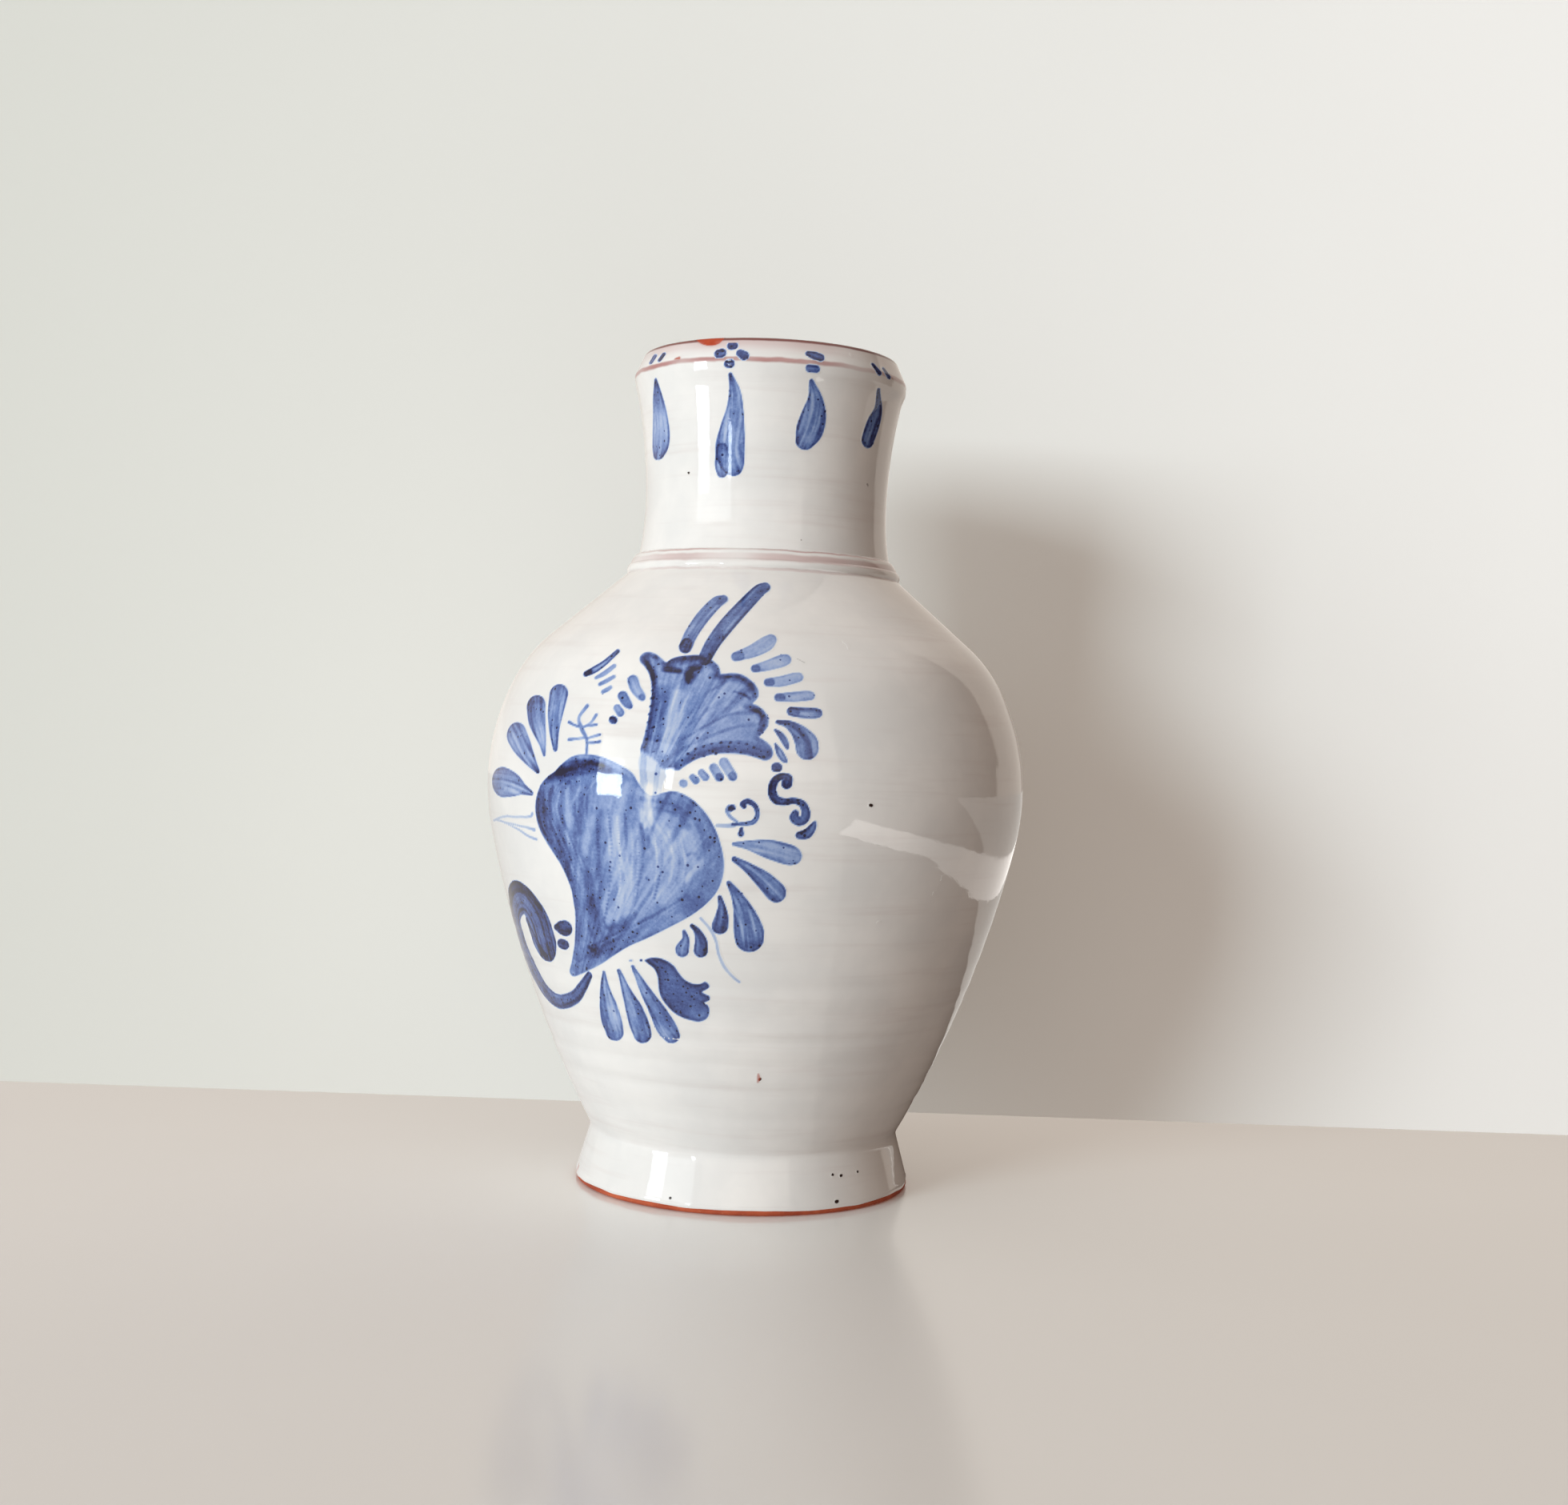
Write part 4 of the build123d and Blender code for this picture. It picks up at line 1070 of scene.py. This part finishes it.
# Table, wall painted darker at the left as shade, window light and a dim right side
studio = dict(
    # the wall's colour runs from darker at the left to paler at the right: painted shade
    table=colour(244, 245, 243), wallLeftPaintedShade=colour(219, 219, 212), wallRight=colour(253, 252, 249),
    smudge=colour(190, 186, 176), smudgeScale=3.0, smudges=(0.3, 0.7, 0.0, 0.05),
    tableRoughness=0.16, wallRoughness=0.9,
    wallHalf=0.34, wallBack=136.0, reach=6000.0, aim=150.0,
    # windows that light: angle to the right of the viewer, angle up, side and power
    windows=[(-40.5, 12.5, 1850.0, 226.0), (-58.0, 12.0, 2400.0, 76.0)], windowAway=6000.0,
    daylight=(0.85, 0.95, 1.0),
    # panes that the glaze mirrors: the same angles, width, height and power
    panes=[(-60.5, -0.4, 280.0, 215.0, 4.0), (-60.5, 7.0, 280.0, 150.0, 0.5),
           (-34.5, 3.5, 75.0, 210.0, 0.6), (-50.0, 12.5, 830.0, 320.0, 1.4)], paneAway=1400.0,
    # what stands round the jar, low and higher up, what lights it from under the horizon, and what the
    # glaze mirrors there: from each angle to the right of the viewer on, its colour and level
    low=[(-180.0, (0.95, 0.88, 0.8, 1)), (-105.0, (0.4, 0.36, 0.33, 1)), (-28.0, (0.36, 0.31, 0.27, 1)),
         (34.5, (0.06, 0.04, 0.03, 1)), (123.0, (0.8, 0.72, 0.64, 1)), (161.0, (0.45, 0.39, 0.34, 1))],
    high=[(-180.0, (0.8, 0.73, 0.66, 1)), (-105.0, (0.45, 0.4, 0.37, 1)), (-28.0, (1.2, 1.07, 0.97, 1)),
          (34.5, (0.08, 0.055, 0.042, 1)), (126.0, (0.8, 0.72, 0.64, 1))],
    under=[(-180.0, (0.56, 0.53, 0.5, 1)), (34.5, (0.26, 0.2, 0.17, 1)), (123.0, (0.3, 0.25, 0.21, 1))],
    ground=[(-180.0, (0.78, 0.74, 0.7, 1)), (-8.0, (0.5, 0.46, 0.42, 1)), (34.0, (0.1, 0.07, 0.055, 1))],
    zoneBlend=1.0, ceiling=(1.0, 0.92, 0.85, 1), fill=(0.6, 0.55, 0.52, 1), beyond=(0.8, 0.79, 0.76, 1),
    # between which slopes of the view the horizon, the higher things and the ceiling begin
    horizon=(-0.02, 0.02), highFrom=(0.08, 0.11), ceilingFrom=(0.6, 0.85),
)


def lookAt(place):
    # turned to the middle of the jar
    back = np.array(place, float) - np.array([0, 0, studio["aim"]])
    back /= np.linalg.norm(back)
    side = np.cross([0, 0, 1], back)
    side /= np.linalg.norm(side)
    return standing(side, np.cross(back, side), back, place)


def aroundJar(turn, rise, away):
    # a place seen from the jar at an angle to the right of the viewer and an angle above the table
    turn, rise = np.radians([turn, rise])
    level = away * np.cos(rise)
    return level * np.sin(turn), -level * np.cos(turn), studio["aim"] + away * np.sin(rise)


def softbox(name, place, wide, high, power, mirrored):
    data = bpy.data.lights.new(name, "AREA")
    data.shape, data.size, data.size_y = "RECTANGLE", wide * mm, high * mm
    data.energy = power
    data.color = studio["daylight"]
    lamp = placed(name, data)
    lamp.matrix_world = lookAt(place)
    # panes are only mirrored in the glaze, and windows only light
    lamp.visible_camera = False
    lamp.visible_glossy, lamp.visible_diffuse = mirrored, not mirrored


def backdrop(name, corners, base, roughness):
    material = bpy.data.materials.new(name)
    n = Nodes(material)
    place = n.coordinate()
    across = n.math("MULTIPLY_ADD", n.split(place)[0], 0.5 / studio["wallHalf"], 0.5, clamp=True)
    cloudy = n.between(n.noise(place, studio["smudgeScale"], 3.0), *studio["smudges"])
    n.join(n.mix(cloudy, n.mix(across, *base), studio["smudge"]), n.shader.inputs["Base Color"])
    n.shader.inputs["Roughness"].default_value = roughness
    piece = makePiece(name, np.array(corners) * mm, np.array([[0, 1, 2, 3]]), material)
    return piece


st, far, back = studio, studio["reach"], studio["wallBack"]


def levelSheet(z):
    return [(-far, -far, z), (far, -far, z), (far, far, z), (-far, far, z)]


table = backdrop("table", levelSheet(-0.1), (st["table"], st["table"]), st["tableRoughness"])
wallCorners = [(-far, back, -1), (far, back, -1), (far, back, far), (-far, back, far)]
# the wall is painted darker towards the left as shade
wall = backdrop("wall", wallCorners, (st["wallLeftPaintedShade"], st["wallRight"]), st["wallRoughness"])
wall.visible_diffuse = wall.visible_glossy = wall.visible_shadow = wall.visible_transmission = False
n = Nodes(wall.data.materials[0])
fromBehind = n.add("ShaderNodeMixShader")
n.join(n.add("ShaderNodeNewGeometry").outputs["Backfacing"], fromBehind.inputs[0])
n.join(n.shader.outputs[0], fromBehind.inputs[1])
n.join(n.add("ShaderNodeBsdfTransparent").outputs[0], fromBehind.inputs[2])
n.join(fromBehind.outputs[0], n.tree.nodes["Material Output"].inputs["Surface"])

for number, (turn, rise, side, power) in enumerate(st["windows"]):
    softbox(f"window{number}", aroundJar(turn, rise, st["windowAway"]), side, side, power, False)
for number, (turn, rise, wide, high, power) in enumerate(st["panes"]):
    softbox(f"pane{number}", aroundJar(turn, rise, st["paneAway"]), wide, high, power, True)


def roundTheJar(n, x, y, zones):
    # the zone's colour by the angle atan2(x, -y) from the viewer's side, on a ramp with narrow steps
    turn = n.math("ARCTAN2", x, n.math("MULTIPLY", y, -1.0))
    stops = [zones[0]]
    for before, (start, shade) in zip(zones, zones[1:]):
        stops += [(start - studio["zoneBlend"], before[1]), (start + studio["zoneBlend"], shade)]
    turns = [((start + 180) / 360, shade) for start, shade in stops]
    return n.ramp(n.math("MULTIPLY_ADD", turn, 0.5 / np.pi, 0.5), turns)


def makeRoom():
    world = bpy.data.worlds.new("room")
    bpy.context.scene.world = world
    world.use_nodes = True
    n = Nodes(world)
    x, y, z = n.split(n.coordinate("Generated"))
    low, high = roundTheJar(n, x, y, st["low"]), roundTheJar(n, x, y, st["high"])
    around = n.mix(n.between(z, *st["highFrom"]), low, high)
    around = n.mix(n.between(z, *st["ceilingFrom"]), around, st["ceiling"])
    # less of it lights the room than the glaze mirrors, light from below comes off the table, and the
    # camera sees one plain colour
    ray = n.add("ShaderNodeLightPath").outputs
    fill = n.mix(1.0, around, st["fill"], "MULTIPLY")
    fill = n.mix(n.between(z, *st["horizon"]), roundTheJar(n, x, y, st["under"]), fill)
    around = n.mix(ray["Is Glossy Ray"], fill, around)
    n.join(n.mix(ray["Is Camera Ray"], around, st["beyond"]), n.tree.nodes["Background"].inputs["Color"])


# What the glaze mirrors below the horizon: a pale table, dim at the right, bright behind the jar, and with
# a bright strip at the right. In metres: the strip's near and far side, how far before the jar its near
# side turns in and by how much, the slanting line that ends it, and where it and the table brighten.
tableInGlaze = dict(
    strip=(2.9, 2.75, 2.6, 1), stripFar=(1.5, 1.42, 1.34, 1), behind=(0.72, 0.68, 0.63, 1),
    nearSide=0.375, farSide=(0.49, 0.51, 1.0, 0.0), turnsAt=0.1, turnsIn=0.36, endSlant=1.3, end=-0.28,
    paler=(-0.35, 0.0), behindFrom=(0.19, 0.21), level=-0.3,
)


def makeTableSeenInGlaze():
    t = tableInGlaze
    material = bpy.data.materials.new("table_in_glaze")
    n = Nodes(material)
    x, y = n.split(n.coordinate())[:2]
    turned = n.math("MINIMUM", n.math("ADD", y, t["turnsAt"]), 0.0)
    beyondNear = n.math("GREATER_THAN", x, n.math("MULTIPLY_ADD", turned, t["turnsIn"], t["nearSide"]))
    strip = n.math("MULTIPLY", beyondNear, n.between(x, *t["farSide"]))
    beforeEnd = n.math("GREATER_THAN", n.math("MULTIPLY_ADD", y, t["endSlant"], x), t["end"])
    strip = n.math("MULTIPLY", strip, beforeEnd)
    ground = roundTheJar(n, x, y, st["ground"])
    ground = n.mix(n.between(y, *t["behindFrom"]), ground, t["behind"])
    glow = n.add("ShaderNodeEmission")
    bright = n.mix(n.between(y, *t["paler"]), t["strip"], t["stripFar"])
    n.join(n.mix(strip, ground, bright), glow.inputs["Color"])
    n.join(glow.outputs[0], n.tree.nodes["Material Output"].inputs["Surface"])
    sheet = np.array(levelSheet(t["level"])) * mm
    card = makePiece("table_in_glaze", sheet, np.array([[0, 1, 2, 3]]), material)
    card.visible_camera = card.visible_diffuse = card.visible_shadow = card.visible_transmission = False


makeRoom()
makeTableSeenInGlaze()
table.visible_glossy = table.visible_diffuse = False
bpy.context.scene.view_settings.view_transform = "Standard"
print("camera, table, wall and lights set")

bpy.context.view_layer.update()
